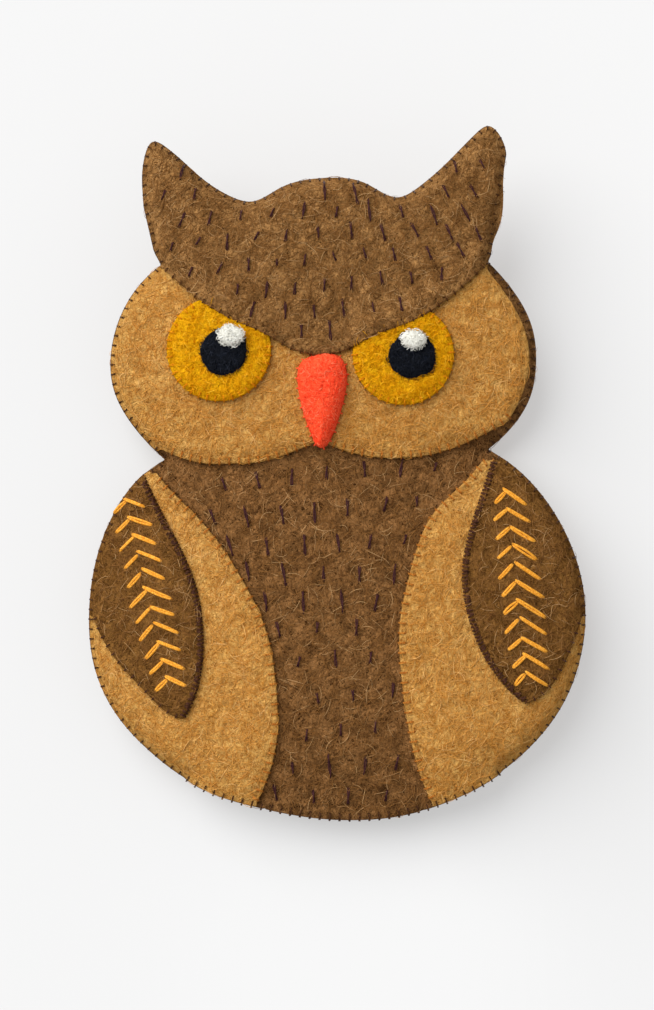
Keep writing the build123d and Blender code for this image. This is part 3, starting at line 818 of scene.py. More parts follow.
NAVY_FIBRE = fibre("navy_fibre", (8, 10, 15), (18, 21, 28), (38, 42, 52))
ORANGE_FIBRE = fibre("orange_fibre", (242, 54, 26), (255, 92, 54), (255, 132, 94))
WHITE_FIBRE = fibre("white_fibre", (206, 204, 192), (228, 226, 216), (246, 246, 240))


# ---- felt pieces ----------------------------------------------------------------------------
def dents(flat, places, shape):
    """How far the felt is pulled in round the given (x, z) places."""
    depth, radius = shape
    apart = np.linalg.norm(flat - places[nearest_corner(flat, places)], axis=1)
    return depth * np.exp(-(apart / radius) ** 2)


def at(level, points):
    """A layer's number at (x, z) points. It can be the same everywhere or depend on the place."""
    return level(points) if callable(level) else level


def lay(loop, level, edge_places, seeds=None, step=GRID_STEP, lines=(), puff=0.0):
    """A closed felt sheet lying as the given layer, pulled in at its stitches and puffed up in
    its middle."""
    flat, triangles, distance = cut_sheet(loop, lines, step)
    layer = at(level, flat)
    top = skin(flat, layer) + dents(flat, edge_places, EDGE_DENT) - puff * soft(distance / PUFF_IN)
    if seeds is not None:
        top += dents(flat, seeds, SEED_DENT)
    bottom = skin(flat, layer - 0.97)
    return closed(flat, triangles, distance, *rounded(distance, top, bottom))


def stitch_places(loop, pitch=STITCH_PITCH):
    """Evenly spaced places along a loop and the directions into it."""
    spaced = resample(loop, pitch)
    return spaced, inward(spaced)


def dent_places(loop, reach, pitch=STITCH_PITCH):
    """Where the stitches along a loop pull the felt in."""
    spaced, into = stitch_places(loop, pitch)
    return spaced + reach * into


# ---- threads --------------------------------------------------------------------------------
def axes_round(paths, up):
    """Two unit directions square to paths at each of their points."""
    along = unit(np.gradient(paths, axis=-2))
    first = unit(np.cross(along, np.array(up)))
    return first, np.cross(along, first)


def tubes(paths, sizes, sides, up):
    """Points and faces of round tubes along paths of as many points each."""
    first, second = axes_round(paths, up)
    corners = []
    for number in range(sides):
        angle = 2 * math.pi * number / sides
        corners.append(paths + sizes * (math.cos(angle) * first + math.sin(angle) * second))
    points = np.stack(corners, axis=2).reshape(-1, 3)
    length = paths.shape[1] * sides
    faces = []
    for start in range(0, len(points), length):
        last = start + length - sides
        for low in range(start, last, sides):
            for number in range(sides):
                after = low + (number + 1) % sides
                faces.append((low + number, after, after + sides, low + number + sides))
        faces.append(tuple(range(start, start + sides))[::-1])
        faces.append(tuple(range(last, last + sides)))
    return points, faces


def strand(path, radius):
    """A round thread along a path, drawn in at both ends."""
    sizes = np.full((1, len(path), 1), radius)
    sizes[:, [0, -1]] *= 0.55
    return tubes(path[None], sizes, 6, (0.3, -1.0, 0.2))


def twisted(path, radius, pitch, level_start=False):
    """Two strands wound round a path, side by side at its start if level_start."""
    first, second = axes_round(path, (0.0, -1.0, 0.0))
    travel = np.concatenate([[0.0], np.cumsum(np.linalg.norm(np.diff(path, axis=0), axis=1))])
    start = rng.normal(0.0, 0.3) if level_start else rng.uniform(0, 2 * math.pi)
    made = []
    for number in range(2):
        angle = start + 2 * math.pi * (number / 2 + travel / pitch)
        off = 0.75 * radius * (np.cos(angle)[:, None] * first + 0.6 * np.sin(angle)[:, None] * second)
        made.append(strand(path + off, radius * 0.62))
    return made


def floss(path, radius):
    """Two strands side by side that spread apart in the middle of the stitch."""
    aside = unit(np.cross(path[-1] - path[0], np.array([0.0, -1.0, 0.0])))
    share = np.linspace(0.0, 1.0, len(path))
    apart = radius * (0.3 + 0.35 * np.sin(math.pi * share)) * rng.uniform(0.8, 1.15)
    made = []
    for side in (-1, 1):
        bow = rng.normal(0.0, 0.12) * np.sin(math.pi * share)
        made.append(strand(path + (side * apart + bow)[:, None] * aside, 0.8 * radius))
    return made


def gather(stitches):
    """The strands of several stitches as one lot of points and faces."""
    points = []
    faces = []
    total = 0
    for stitch in stitches:
        for some_points, some_faces in stitch:
            points.append(some_points)
            faces += [tuple(corner + total for corner in face) for face in some_faces]
            total += len(some_points)
    return np.vstack(points), faces


def laid_threads(ends, make, steps=9, sink=0.9, lift=0.15):
    """Stitches lying on the felt between pairs of (x, z) ends, with their ends pulled into it.
    make turns the path of each into its strands."""
    share = np.linspace(0.0, 1.0, steps)
    flat = np.array([[mix(first, second, s) for s in share] for first, second in ends])
    spots = flat.reshape(-1, 2)
    heights = skin(spots, top_level(spots)).reshape(len(ends), steps)
    up = 1.0 - np.abs(2 * share - 1.0) ** 3.5
    y = heights + sink * (1.0 - up) - lift * up
    return [make(np.column_stack([run[:, 0], height, run[:, 1]])) for run, height in zip(flat, y)]


def wound(flat, heights, step, radius, pitch):
    """Twisted threads along (x, z) runs at their heights."""
    made = []
    for run, height in zip(flat, heights):
        path = np.column_stack([run[:, 0], height, run[:, 1]])
        made.append(twisted(resample(path, step, closed=False), radius, pitch))
    return made


def edge_threads(places, into, length, level_in, level_out, radius, over=0.25):
    """Stitches that come up inside an edge, go over it and down into the felt under it."""
    steps = np.array([length, length - 0.35, 0.62 * length, 0.3 * length, 0.1, -over, -over - 0.12])
    sunk = np.array([0.7, -0.15, -0.22, -0.22, -0.05, 0.0, 0.0])
    down = np.array([0.0, 0.0, 0.0, 0.04, 0.18, 0.6, 1.0])
    flat = places[:, None, :] + steps[None, :, None] * into[:, None, :]
    spots = flat.reshape(-1, 2)
    high, low = (skin(spots, np.repeat(np.broadcast_to(level, len(places)), len(steps)))
                 .reshape(len(places), -1) for level in (level_in, level_out))
    return wound(flat, mix(high, low, down) + sunk, 0.45, radius, 4.0)


def rim_threads(places, into, length, level, radius):
    """Blanket stitches that hold the two panels: from the front, over the rim, to the back."""
    steps = np.array([length, length - 0.3, 0.65 * length, 0.75, 0.3])
    flat = places[:, None, :] + steps[None, :, None] * into[:, None, :]
    spots = flat.reshape(-1, 2)
    front = skin(spots, np.repeat(level, len(steps))).reshape(len(places), -1)
    front += np.array([0.8, -0.2, -0.25, -0.1, 0.35])
    back = back_skin(spots, True).reshape(len(places), -1)
    back += np.array([-0.8, 0.15, 0.2, 0.1, -0.3])
    turn = np.linspace(front[:, -1], back[:, -1], 5, axis=1)[:, 1:-1]
    over = np.repeat((places + RIM_IN * into)[:, None, :], 3, axis=1)
    runs = np.concatenate([flat, over, flat[:, ::-1]], axis=1)
    return wound(runs, np.concatenate([front, turn, back[:, ::-1]], axis=1), 0.5, radius, 5.0)


def back_lip_threads(places, into, length, radius):
    """Stitches over the edge of the back panel at the hem."""
    steps = np.array([length, length - 0.35, 0.5 * length, 0.4, -0.25])
    flat = places[:, None, :] + steps[None, :, None] * into[:, None, :]
    outside = back_skin(flat.reshape(-1, 2), True).reshape(len(places), -1)
    return wound(flat, outside + np.array([-0.8, 0.12, 0.15, 0.05, -0.9]), 0.45, radius, 4.0)


def rim_cord(radius):
    """The thread that runs along the rim from stitch to stitch, in one short length per stitch."""
    into = inward(OUTLINE)
    front = skin(OUTLINE, top_level(OUTLINE + BESIDE_RIM * into))
    y = mix(front, back_skin(OUTLINE, True), 0.75)
    spot = OUTLINE + RIM_IN * into
    opened = at_opening(OUTLINE)
    per_stitch = max(2, round(STITCH_PITCH / EDGE_STEP))
    lengths = []
    for start in range(0, len(spot), per_stitch):
        chosen = np.arange(start - 1, start + per_stitch + 2) % len(spot)
        if not opened[chosen].any():
            path = np.column_stack([spot[chosen, 0], y[chosen], spot[chosen, 1]])
            lengths.append(twisted(path, radius, 4.0))
    return lengths


# ---- putting pieces together ------------------------------------------------------------------
def add_piece(name, material, place, nodes, points, faces, normals=None, rest=None):
    """A smooth object from millimetre points, placed by place instead of CAD nodes. It keeps its
    resting place for its material, or the places in rest instead."""
    mesh = bpy.data.meshes.new(name)
    mesh.from_pydata((np.asarray(points) * MM).tolist(), [], [list(map(int, face)) for face in faces])
    mesh.polygons.foreach_set("use_smooth", [True] * len(mesh.polygons))
    kept = mesh.attributes.new("rest", "FLOAT_VECTOR", "POINT")
    kept.data.foreach_set("vector", np.asarray(points if rest is None else rest, np.float32).ravel())
    mesh.materials.append(material)
    if normals is not None:
        mesh.normals_split_custom_set_from_vertices(normals.tolist())
    made = bpy.data.objects.new(name, mesh)
    bpy.context.scene.collection.objects.link(made)
    place(made)
    if nodes:
        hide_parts(*nodes)


def add_threads(name, material, place, node, stitches):
    if stitches:
        add_piece(name, material, place, [node], *gather(stitches))


def centre_of(stitch):
    return np.vstack([points for points, _ in stitch]).mean(0)[[0, 2]]


def on_half(stitches, name):
    """The stitches on one side of the middle."""
    return [stitch for stitch in stitches if centre_of(stitch)[0] * SIDES[name] >= 0]


def bending_lines(with_flap):
    """The lines along which a panel is divided into one piece for each joint."""
    lines = [[CROWN, CHEST_TOP]]
    lines += [[NOTCH[name], CHEST_TOP] for name in SIDES]
    if not with_flap:
        return lines + [[CHEST_TOP, HEM_MIDDLE]]
    lines += [[CHEST_TOP, FLAP_TOP], [FLAP_TOP, HEM_MIDDLE]]
    return lines + [[FOOT[name], FLAP_TOP] for name in SIDES]


def divide(panel, material, points, faces, normals, with_flap):
    """The pieces of a whole panel, one for each part between its joints."""
    centres = points[faces].mean(1)[:, [0, 2]]
    for name in SIDES:
        here = on_side(centres, name)
        up = here & above_neck(centres, name)
        flap = here & ~up & in_flap(centres, name) & with_flap
        parts = (("head", up, OVER_NECK, [panel + "_head"]),
                 ("body", here & ~up & ~flap, OVER_WING, [panel + "_middle", panel + "_wing_" + name]),
                 ("flap", flap, OVER_FLAP, [panel + "_flap"]))
        for part, chosen, place, nodes in parts:
            if chosen.any():
                add_piece(panel + "_" + part + "_" + name, material, place[name], nodes,
                          *part_of(points, faces, normals, chosen))


def build_front_panel():
    whole = lay(OUTLINE, 1.0, dent_places(OUTLINE, 1.2), seed_spots("chest_seed_stitches"),
                lines=bending_lines(False))
    divide("front_panel", CHEST, *whole, with_flap=False)


def build_back_panel():
    flat, triangles, distance = cut_sheet(OUTLINE, bending_lines(True))
    outside = back_skin(flat, True) - dents(flat, dent_places(OUTLINE, 1.2), BACK_DENT)
    sides = rounded(distance, back_skin(flat, False), outside)
    divide("back_panel", BROWN, *closed(flat, triangles, distance, *sides), with_flap=True)


def build_face():
    chin_z = FACE_LOOP[np.abs(FACE_LOOP[:, 0]) < 2.0, 1].min()
    middle = [np.array([0.0, brow_z(0.0) + TUCK]), np.array([0.0, chin_z])]
    points, faces, normals = lay(FACE_LOOP, 2.0, dent_places(FACE_LOOP, 1.4), lines=[middle])
    centres = points[faces].mean(1)[:, [0, 2]]
    for name in SIDES:
        add_piece("face_" + name, TAN, OVER_NECK[name], ["face_panel"],
                  *part_of(points, faces, normals, on_side(centres, name)))


def build_cap():
    seeds = seed_spots("cap_seed_stitches")
    add_piece("cap", BROWN, ON_HEAD, ["head_cap"],
              *lay(CAP_LOOP, cap_level, dent_places(CAP_LOOP, 1.2), seeds))


def build_wing(name):
    loop = WING_LOOPS[name]
    add_piece("wing_felt_" + name, TAN, OVER_WING[name],
              ["wing_" + name + "_inner", "wing_" + name + "_outer"], *lay(loop, 2.0, dent_places(loop, 1.4)))
    loop = COVERT_LOOPS[name]
    add_piece("covert_felt_" + name, COVERT, OVER_WING[name], ["covert_" + name],
              *lay(loop, 3.0, dent_places(loop, 1.3)))


def build_iris(name):
    loop = IRIS_LOOPS[name]
    add_piece("iris_felt_" + name, YELLOW, ON_HEAD, ["iris_" + name],
              *lay(loop, 3.0, dent_places(loop, 1.0, IRIS_PITCH), step=1.3, puff=IRIS_PUFF))


def domed(distance, width, rise):
    """Height of a lump at a distance from its edge."""
    left = 1.0 - np.clip(distance / width, 0.0, 1.0)
    return rise * np.sqrt(np.maximum(0.0, 1.0 - left ** 2.2))


def lump(loop, level, rise, sink, step=0.9, wobble=0.12, seed=5):
    """A stuffed or felted lump over a loop: round at its edge and rise high in the middle."""
    flat, triangles, distance = cut_sheet(loop, (), step)
    height = domed(distance, distance.max(), rise) * (1.0 + wobble * waves(flat, 5.0, seed))
    base = skin(flat, level)
    return closed(flat, triangles, distance, base - height, base + sink)


def wobbly_ellipse(x, z, half_width, half_height, step, wobble, seed):
    count = max(24, round(2 * math.pi * half_width / step))
    turn = np.linspace(0.0, 2 * math.pi, count, endpoint=False)
    made = np.random.default_rng(seed)
    size = np.ones(count)
    for wave in (2, 3, 5, 7, 11, 17):
        size += wobble / math.sqrt(wave) * np.cos(wave * turn + made.uniform(0, 6)) * made.uniform(0.3, 1.0)
    return np.column_stack([x + half_width * size * np.cos(turn), z + half_height * size * np.sin(turn)])


PUPIL_SEEDS = {"left": 21, "right": 34}
PUPIL = (3.4, 2.3)          # the layer that a lump stands on and its height
HIGHLIGHT = (4.1, 1.7)
BEAK = (2.0, 6.6)


def pupil_loop(name):
    x, z, radius = circle("pupil_" + name)
    return wobbly_ellipse(x, z, radius, radius, 0.6, 0.04, PUPIL_SEEDS[name])


def highlight_loop(name):
    low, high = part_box("highlight_" + name)
    return wobbly_ellipse((low.x + high.x) / 2 / MM, (low.z + high.z) / 2 / MM,
                          (high.x - low.x) / 2 / MM + 0.5, (high.z - low.z) / 2 / MM + 0.4,
                          0.5, 0.07, PUPIL_SEEDS[name] + 1)


def build_pupil(name):
    seed = PUPIL_SEEDS[name]
    add_piece("pupil_wool_" + name, NAVY, ON_HEAD, ["pupil_" + name],
              *lump(pupil_loop(name), *PUPIL, 0.5, wobble=0.08, seed=seed))
    add_piece("highlight_wool_" + name, WHITE, ON_HEAD, ["highlight_" + name],
              *lump(highlight_loop(name), *HIGHLIGHT, 1.2, step=0.6, seed=seed))


def build_beak():
    add_piece("beak_felt", ORANGE, ON_HEAD, ["beak_shell", "beak_stuffing"],
              *lump(BEAK_LOOP, *BEAK, 0.4, wobble=0.02))


# ---- stitches -------------------------------------------------------------------------------
def islands(count, triangles):
    """A number for each point, the same all over each connected piece."""
    found = np.arange(count)
    while True:
        lowest = found.copy()
        for corner in range(3):
            np.minimum.at(lowest, triangles[:, corner], found[triangles].min(1))
        if (lowest == found).all():
            return found
        found = lowest


def seed_ends(node):
    """The two (x, z) ends of every straight stitch of a CAD node."""
    places, triangles = cad_mesh(node)
    piece = islands(len(places), triangles)
    ends = []
    for number in np.unique(piece):
        flat = places[piece == number][:, [0, 2]]
        centre = flat.mean(0)
        _, _, axes = np.linalg.svd(flat - centre)
        reach = ((flat - centre) @ axes[0]).max()
        ends.append([centre - reach * axes[0], centre + reach * axes[0]])
    return np.array(ends)


def seed_spots(node):
    """Places along the straight stitches of a CAD node, where the felt is pulled in."""
    ends = seed_ends(node)
    return np.vstack([mix(ends[:, 0], ends[:, 1], share) for share in (0.0, 0.5, 1.0)])


def wobbled(ends, amount, stretch=1.0, spread_by=0.0):
    """The ends of hand-sewn stitches: each a little off its place and a little longer or shorter."""
    centre = ends.mean(axis=1, keepdims=True)
    size = stretch * (1.0 + spread_by * rng.uniform(-1.0, 1.0, (len(ends), 1, 1)))
    return centre + (ends - centre) * size + rng.normal(0.0, amount, ends.shape)


def build_seeds():
    for label, radius, stretch, place in (("cap", 0.4, 1.3, ON_HEAD), ("chest", 0.42, 1.25, ON_TORSO)):
        def make(path):
            path[:, 1] -= 0.2 * radius
            return twisted(path, radius, 12.0, level_start=True)

        ends = wobbled(seed_ends(label + "_seed_stitches"), 0.5, stretch, 0.35)
        add_threads(label + "_seeds", PLUM_THREAD, place, label + "_seed_stitches",
                    laid_threads(ends, make, lift=0.32))


def chevron_ends(name):
    """The arms of the chevrons, drawn on to the point where they meet."""
    ends = seed_ends("chevron_stitches_" + name)
    made = []
    for first, second in ends:
        inner, outer = (first, second) if first[1] > second[1] else (second, first)
        run = (inner - outer) / np.linalg.norm(inner - outer)
        reach = RIGHT_ARM_REACH if outer[0] > inner[0] else LEFT_ARM_REACH
        made.append([inner + reach * run, outer])
    return np.array(made)


def build_chevrons(name):
    def make(path):
        path[:, 1] -= 0.2 * FLOSS_RADIUS
        return floss(path, FLOSS_RADIUS)

    ends = wobbled(chevron_ends(name), 0.3, 1.0, 0.08)
    add_threads("chevrons_" + name, GOLD_THREAD, OVER_WING[name], "chevron_stitches_" + name,
                laid_threads(ends, make, sink=0.5, lift=0.1))


def build_rim():
    """The seam all round: blanket stitches and the cord along the rim. On the hem each lip has its
    own stitches, which build_hem makes between the wings."""
    spaced, into = stitch_places(OUTLINE)
    level = top_level(spaced + BESIDE_RIM * into)
    sewn = ~at_opening(spaced)
    stitches = rim_threads(spaced[sewn], into[sewn], 1.8, level[sewn], 0.27)
    stitches += rim_cord(0.18)
    lips = ~sewn & (np.abs(spaced[:, 0]) > FOOT["right"][0])
    stitches += edge_threads(spaced[lips], into[lips], 2.2, 2.0, 1.0, 0.27)
    stitches += back_lip_threads(spaced[lips], into[lips], 2.2, 0.27)
    centres = np.array([centre_of(stitch) for stitch in stitches])
    for name in SIDES:
        here = on_side(centres, name)
        up = here & above_neck(centres, name)
        wing = here & ~up & (beyond(centres, NOTCH[name], FOOT[name], ASIDE[name]) > 0)
        for part, chosen, place, node in (("head", up, OVER_NECK, "head_seam_stitches"),
                                          ("wing", wing, OVER_WING, "wing_seam_stitches_" + name)):
            add_threads("rim_" + part + "_" + name, BROWN_THREAD, place[name], node,
                        [stitches[number] for number in np.flatnonzero(chosen)])


def build_hem():
    """Blanket stitches on each lip of the hand opening."""
    spaced, into = stitch_places(OUTLINE)
    hem = (np.abs(spaced[:, 0]) < FOOT["right"][0]) & (spaced[:, 1] < SEWN_BELOW)
    spaced, into = spaced[hem], into[hem]
    add_threads("hem_front", BROWN_THREAD, ON_TORSO, "front_hem_stitches",
                edge_threads(spaced, into, 2.6, 1.0, 0.0, 0.34))
    outside = back_lip_threads(spaced, into, 2.6, 0.34)
    for name in SIDES:
        add_threads("hem_back_" + name, BROWN_THREAD, OVER_FLAP[name], "back_hem_stitches",
                    on_half(outside, name))


def inner_edge(loop, pitch=STITCH_PITCH, clear=CLEAR_OF_RIM):
    """Stitch places on the part of an applique's edge that is away from the rim."""
    spaced, into = stitch_places(loop, pitch)
    keep = distance_to_path(spaced, OUTLINE) > clear
    return spaced[keep], into[keep]


def build_face_stitches():
    """The stitches that hold the chin, the brow, the irises and the beak."""
    spaced, into = inner_edge(FACE_LOOP, clear=2.5)
    chin = spaced[:, 1] < NECK_Z + CHIN_REACH
    stitches = edge_threads(spaced[chin], into[chin], 2.4, 2.0, 1.0, 0.3)
    for name in SIDES:
        add_threads("chin_threads_" + name, TAN_THREAD_AND_SHADE, OVER_NECK[name], "chin_stitches",
                    on_half(stitches, name))
    spaced, into = inner_edge(CAP_LOOP, clear=3.0)
    level = cap_level(spaced)
    add_threads("brow_threads", BROW_THREAD, ON_HEAD, "brow_stitches",
                edge_threads(spaced, into, 1.3, level, level - 1.0, 0.28))
    for name in SIDES:
        spaced, into = stitch_places(IRIS_LOOPS[name], IRIS_PITCH)
        keep = spaced[:, 1] < brow_z(spaced[:, 0]) - 0.5
        add_threads("iris_threads_" + name, YELLOW_THREAD_AND_SHADE, ON_HEAD, "iris_stitches_" + name,
                    edge_threads(spaced[keep], into[keep], 2.0, 3.0, 2.0, 0.24))
    add_threads("beak_threads", ORANGE_THREAD, ON_HEAD, "beak_stitches",
                edge_threads(*stitch_places(BEAK_LOOP), 0.9, 2.6, 2.0, 0.22, over=0.6))


def build_wing_stitches(name):
    """The stitches along a wing's inner edge and round its covert, which has crowded ones too."""
    add_threads("wing_edge_threads_" + name, TAN_THREAD_AND_SHADE, OVER_WING[name], "wing_edge_stitches_" + name,
                edge_threads(*inner_edge(WING_LOOPS[name]), 2.3, 2.0, 1.0, 0.3))
    stitches = edge_threads(*inner_edge(COVERT_LOOPS[name]), 1.3, 3.0, 2.0, 0.22)
    spaced, into = stitch_places(COVERT_LOOPS[name], OVERCAST_PITCH)
    keep = distance_to_path(spaced, OUTLINE) > CLEAR_OF_RIM
    keep &= into[:, 0] * SIDES[name] > OVERCAST_FACING
    slant = rng.normal(0.0, 0.3, (len(spaced), 1)) * np.column_stack([-into[:, 1], into[:, 0]])
    stitches += edge_threads(spaced[keep], (into + slant)[keep], 1.8, 3.0, 2.0, 0.3)
    add_threads("covert_threads_" + name, COVERT_THREAD, OVER_WING[name], "covert_stitches_" + name, stitches)


build_front_panel()
build_back_panel()
build_face()
build_cap()
for side_name in SIDES:
    build_wing(side_name)
    build_iris(side_name)
    build_chevrons(side_name)
for side_name in SIDES:
    build_pupil(side_name)
build_beak()
build_seeds()
build_rim()
build_hem()
build_face_stitches()
for side_name in SIDES:
    build_wing_stitches(side_name)


# ---- loose fibres ---------------------------------------------------------------------------
FIBRE_STEPS = 5
FIBRE_SIDES = 3
FIBRE_TAPER = np.array([0.5, 1.0, 1.0, 0.9, 0.4])   # its thickness at each step, as a share
FIBRE_RADIUS = 0.08
FIBRE_CURL = 1.3        # radians that a fibre turns along its length, more or less
FIBRE_OVERHANG = 0.6    # fibres reach this far past the edge of their felt
BACK_FUZZ = 0.35        # and stand this far off the back


def fibre_paths(roots, height, length, lift):
    """Curved fibres from (x, z) roots. height gives the surface's y, lift how far they stand off it."""
    count = len(roots)
    heading = rng.uniform(0.0, 2 * math.pi, count)
    turning = rng.normal(0.0, FIBRE_CURL, count)
    reach = length * rng.uniform(0.5, 1.4, count)
    raised = lift * rng.uniform(0.15, 1.0, count) ** 2
    share = np.linspace(0.0, 1.0, FIBRE_STEPS)
    angle = heading[:, None] + turning[:, None] * share
    step = (reach / (FIBRE_STEPS - 1))[:, None]
    x = roots[:, :1] + np.cumsum(np.cos(angle) * step, axis=1)
    z = roots[:, 1:] + np.cumsum(np.sin(angle) * step, axis=1)
    flat = np.stack([x, z], axis=-1)
    y = height(flat.reshape(-1, 2)).reshape(count, FIBRE_STEPS)
    y = y + 0.12 - (raised[:, None] + 0.2) * np.sin(math.pi * (0.1 + 0.8 * share))
    return np.stack([x, y, z], axis=-1)


def add_fibres(name, material, place, paths, radius=FIBRE_RADIUS):
    """One object of loose fibres. Each has a random place in the colour noise, all along it."""
    count = len(paths)
    sizes = radius * rng.uniform(0.7, 1.2, (count, 1, 1)) * FIBRE_TAPER[None, :, None]
    points, faces = tubes(paths, sizes, FIBRE_SIDES, (0.0, -1.0, 0.0))
    shades = np.repeat(rng.uniform(0.0, 500.0, (count, 3)), FIBRE_STEPS * FIBRE_SIDES, axis=0)
    add_piece(name, material, place, (), points, faces, rest=shades)


def kept_within(paths, loop, reach):
    """The paths that stay inside a loop grown by reach."""
    grown = loop - reach * inward(loop)
    flat = paths[:, :, [0, 2]].reshape(-1, 2)
    return paths[inside(flat, grown).reshape(len(paths), -1).all(1)]


def scatter(loop, level, count):
    """Random (x, z) places on the part of a layer that nothing covers."""
    low, high = loop.min(0), loop.max(0)
    places = rng.uniform(low, high, (6 * count, 2))
    places = places[inside(places, loop)]
    shown = np.abs(top_level(places) - at(level, places)) < 0.3
    return places[shown][:count]


def fuzz(name, places, loop, level, material, place, length=6.0, lift=0.4,
         radius=FIBRE_RADIUS, overhang=FIBRE_OVERHANG):
    """Loose fibres on the felt layer that fills a loop."""
    paths = fibre_paths(places, lambda flat: skin(flat, at(level, flat)), length, lift)
    add_fibres(name, material, place, kept_within(paths, loop, overhang), radius)


def build_fuzz():
    """Fibres on every felt layer, each lot placed the way its felt is."""
    chest = scatter(OUTLINE, 1.0, 3600)
    face = scatter(FACE_LOOP, 2.0, 3200)
    for name in SIDES:
        wing, covert, iris = WING_LOOPS[name], COVERT_LOOPS[name], IRIS_LOOPS[name]
        here = chest[on_side(chest, name)]
        up = above_neck(here, name)
        fuzz("fuzz_neck_" + name, here[up], OUTLINE, 1.0, BROWN_FIBRE, OVER_NECK[name])
        fuzz("fuzz_chest_" + name, here[~up], OUTLINE, 1.0, BROWN_FIBRE, OVER_WING[name])
        fuzz("fuzz_face_" + name, face[on_side(face, name)], FACE_LOOP, 2.0, TAN_FIBRE, OVER_NECK[name])
        fuzz("fuzz_wing_" + name, scatter(wing, 2.0, 1900), wing, 2.0, TAN_FIBRE, OVER_WING[name])
        fuzz("fuzz_covert_" + name, scatter(covert, 3.0, 1200), covert, 3.0, BROWN_FIBRE, OVER_WING[name])
        fuzz("fuzz_iris_" + name, scatter(iris, 3.0, 500), iris, 3.5, YELLOW_FIBRE, ON_HEAD, length=3.0)
    fuzz("fuzz_cap", scatter(CAP_LOOP, cap_level, 4200), CAP_LOOP, cap_level, BROWN_FIBRE, ON_HEAD)


def build_back_fuzz():
    """Fibres on the back, which lies almost flat."""
    places = rng.uniform(OUTLINE.min(0), OUTLINE.max(0), (6000, 2))
    places = places[inside(places, OUTLINE)]
    paths = fibre_paths(places, lambda flat: -back_skin(flat, True), 5.0, 0.3)
    paths = kept_within(paths, OUTLINE, FIBRE_OVERHANG)
    paths[:, :, 1] = np.minimum(-paths[:, :, 1], BACK_OUT + BACK_FUZZ)
    roots = paths[:, 0, [0, 2]]
    for name in SIDES:
        here = on_side(roots, name)
        up = here & above_neck(roots, name)
        flap = here & in_flap(roots, name) & ~up
        for part, chosen, place in (("head", up, OVER_NECK), ("flap", flap, OVER_FLAP),
                                    ("body", here & ~up & ~flap, OVER_WING)):
            add_fibres("fuzz_back_" + part + "_" + name, BROWN_FIBRE, place[name], paths[chosen])


def lump_fuzz(name, loop, shape, count, material, overhang=1.1):
    """Short fibres all over a lump, which soften its edge."""
    base, rise = shape
    spots = resample(loop, 0.3)
    middle = hexagon_grid(spots, 0.5)
    width = distance_to_path(middle[inside(middle, spots)], spots).max()

    def level(points):
        edge = np.where(inside(points, spots), distance_to_path(points, spots), 0.0)
        return base + domed(edge, width, rise) / FELT

    places = rng.uniform(loop.min(0), loop.max(0), (count, 2))
    places = places[inside(places, loop)]
    fuzz(name, places, loop, level, material, ON_HEAD, length=2.2, lift=0.3, radius=0.12, overhang=overhang)


build_fuzz()
build_back_fuzz()
for side_name in SIDES:
    lump_fuzz("fuzz_pupil_" + side_name, pupil_loop(side_name), PUPIL, 1100, NAVY_FIBRE)
    lump_fuzz("fuzz_highlight_" + side_name, highlight_loop(side_name), (HIGHLIGHT[0] + 0.4, HIGHLIGHT[1]),
              600, WHITE_FIBRE)
lump_fuzz("fuzz_beak", BEAK_LOOP, BEAK, 2200, ORANGE_FIBRE, overhang=0.3)


# ---- the room -------------------------------------------------------------------------------
LOOK_X = -2.2           # the camera looks at this x and z of the puppet
LOOK_Z = 114.3
VIEW_HEIGHT = 365.4     # millimetres from the picture's bottom to its top at the puppet
LEAN = 2.2              # degrees the puppet leans to the left in the picture
LENS = 120.0
SHEET_GAP = 0.6         # air between the puppet's back and the sheet it lies on
SHEET_FALL = 40.0       # how far the sheet falls away from the puppet
SHEET_RUN = 150.0       # over this distance
SHEET_NEAR = 320.0      # half size of the sheet's curved part
SHEET_FAR = 3000.0      # and of all of it
SHEET_STEP = 8.0
SHEET_GLOW = 0.45       # share of the sheet's brightness that shadows leave alone
KEY_FROM = (-0.7, -1.0, 0.75)      # direction the key light comes from
KEY_WIDTH = 55.0                    # degrees it spreads over
KEY_POWER = 4.1
BACK_FROM = (0.3, 1.0, 0.6)         # and the direction of the light behind the puppet
BACK_POWER = 2.0
ROOM_POWER = 0.66                   # brightness of the room as a light
ROOM_SEEN = 0.92                    # and as the camera sees it


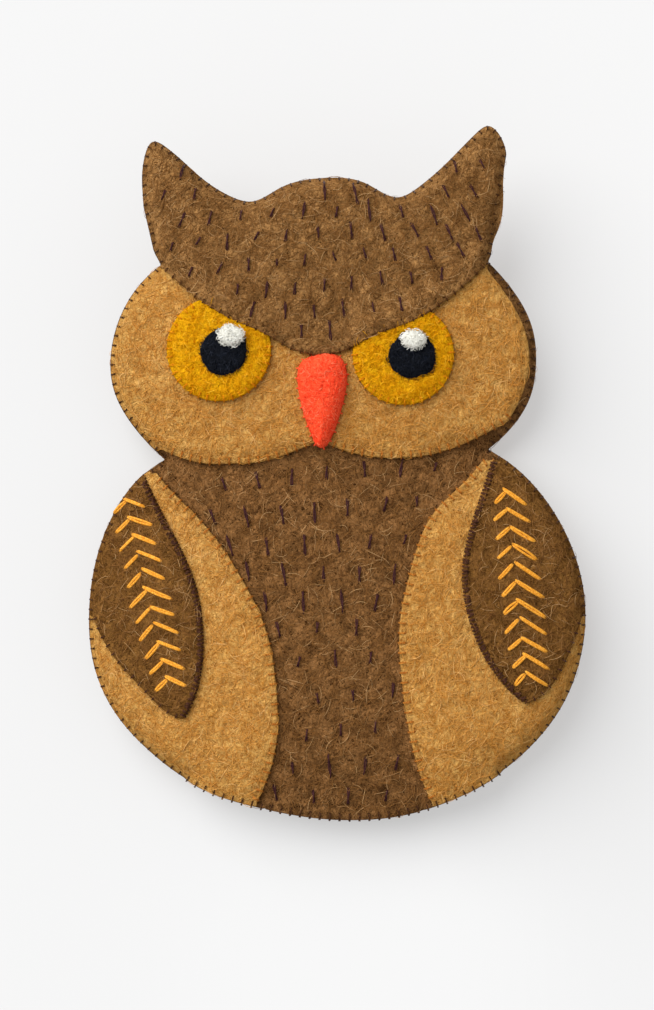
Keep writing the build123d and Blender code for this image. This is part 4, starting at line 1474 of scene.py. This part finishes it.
def build_backdrop():
    """The pale sheet behind the puppet, which only shows from the front. It falls away from the
    chest, so that the head and the wings can tip backwards, but it is shaded as if it were flat."""
    near = np.arange(-SHEET_NEAR, SHEET_NEAR + 1.0, SHEET_STEP)
    lines = np.concatenate([[-SHEET_FAR], near, [SHEET_FAR]])
    spots = crossings(lines, lines)
    aside = np.maximum(np.abs(spots[:, 0]) - FOOT["right"][0], 0.0)
    above = np.maximum(spots[:, 1] - CHEST_TOP[1], 0.0)
    y = BACK_OUT + SHEET_GAP + SHEET_FALL * soft(np.hypot(aside, above) / SHEET_RUN)
    index = np.arange(len(spots)).reshape(len(lines), len(lines))
    corners = (index[:-1, :-1], index[1:, :-1], index[1:, 1:], index[:-1, 1:])
    mesh = bpy.data.meshes.new("backdrop")
    places = np.column_stack([spots[:, 0], y, spots[:, 1]]) * MM
    mesh.from_pydata(places.tolist(), [], np.stack(corners, axis=-1).reshape(-1, 4).tolist())
    sheet = bpy.data.objects.new("backdrop", mesh)
    bpy.context.scene.collection.objects.link(sheet)
    shader = Shader("backdrop")
    plain = shader.node("ShaderNodeBsdfDiffuse", Color=linear((205, 205, 205)))
    shader.put(plain, "Normal", shader.node("ShaderNodeCombineXYZ", X=0.0, Y=-1.0, Z=0.0).outputs[0])
    glow = shader.node("ShaderNodeEmission", Color=linear((246, 246, 246)))
    look = shader.call("ShaderNodeMixShader", {}, SHEET_GLOW, plain.outputs[0], glow.outputs[0])
    behind = shader.node("ShaderNodeNewGeometry").outputs["Backfacing"]
    clear = shader.node("ShaderNodeBsdfTransparent").outputs[0]
    mesh.materials.append(shader.show(shader.call("ShaderNodeMixShader", {}, behind, look, clear)))
    for kind in ("diffuse", "glossy", "transmission", "shadow"):
        setattr(sheet, "visible_" + kind, False)


def build_lights():
    """A broad soft light from the upper left, one from behind and an even white room."""
    for name, source, power in (("key", KEY_FROM, KEY_POWER), ("back", BACK_FROM, BACK_POWER)):
        data = bpy.data.lights.new(name, "SUN")
        data.energy = power
        data.angle = math.radians(KEY_WIDTH)
        lamp = bpy.data.objects.new(name, data)
        bpy.context.scene.collection.objects.link(lamp)
        lamp.rotation_euler = (-Vector(source)).to_track_quat("-Z", "Y").to_euler()
    world = bpy.data.worlds.new("room")
    bpy.context.scene.world = world
    world.use_nodes = True
    tree = world.node_tree
    tree.nodes.clear()
    seen = tree.nodes.new("ShaderNodeLightPath")
    strength = tree.nodes.new("ShaderNodeMapRange")
    tree.links.new(seen.outputs["Is Camera Ray"], strength.inputs["Value"])
    strength.inputs["To Min"].default_value = ROOM_POWER
    strength.inputs["To Max"].default_value = ROOM_SEEN
    sky = tree.nodes.new("ShaderNodeBackground")
    tree.links.new(strength.outputs["Result"], sky.inputs["Strength"])
    out = tree.nodes.new("ShaderNodeOutputWorld")
    tree.links.new(sky.outputs[0], out.inputs["Surface"])
    sky.inputs["Color"].default_value = (1.0, 1.0, 1.0, 1.0)


def build_camera():
    data = bpy.data.cameras.new("camera")
    data.lens = LENS
    data.sensor_width = 36.0
    camera = bpy.data.objects.new("camera", data)
    bpy.context.scene.collection.objects.link(camera)
    lean = math.radians(LEAN)
    right = Vector((math.cos(lean), 0.0, -math.sin(lean)))
    up = Vector((math.sin(lean), 0.0, math.cos(lean)))
    away = LENS / data.sensor_width * VIEW_HEIGHT * MM
    spot = Vector((LOOK_X * MM, -away, LOOK_Z * MM))
    matrix = Matrix((right, up, Vector((0.0, -1.0, 0.0)))).transposed().to_4x4()
    matrix.translation = spot
    camera.matrix_world = matrix
    bpy.context.scene.camera = camera


build_backdrop()
build_lights()
build_camera()
bpy.context.scene.view_settings.view_transform = "Standard"
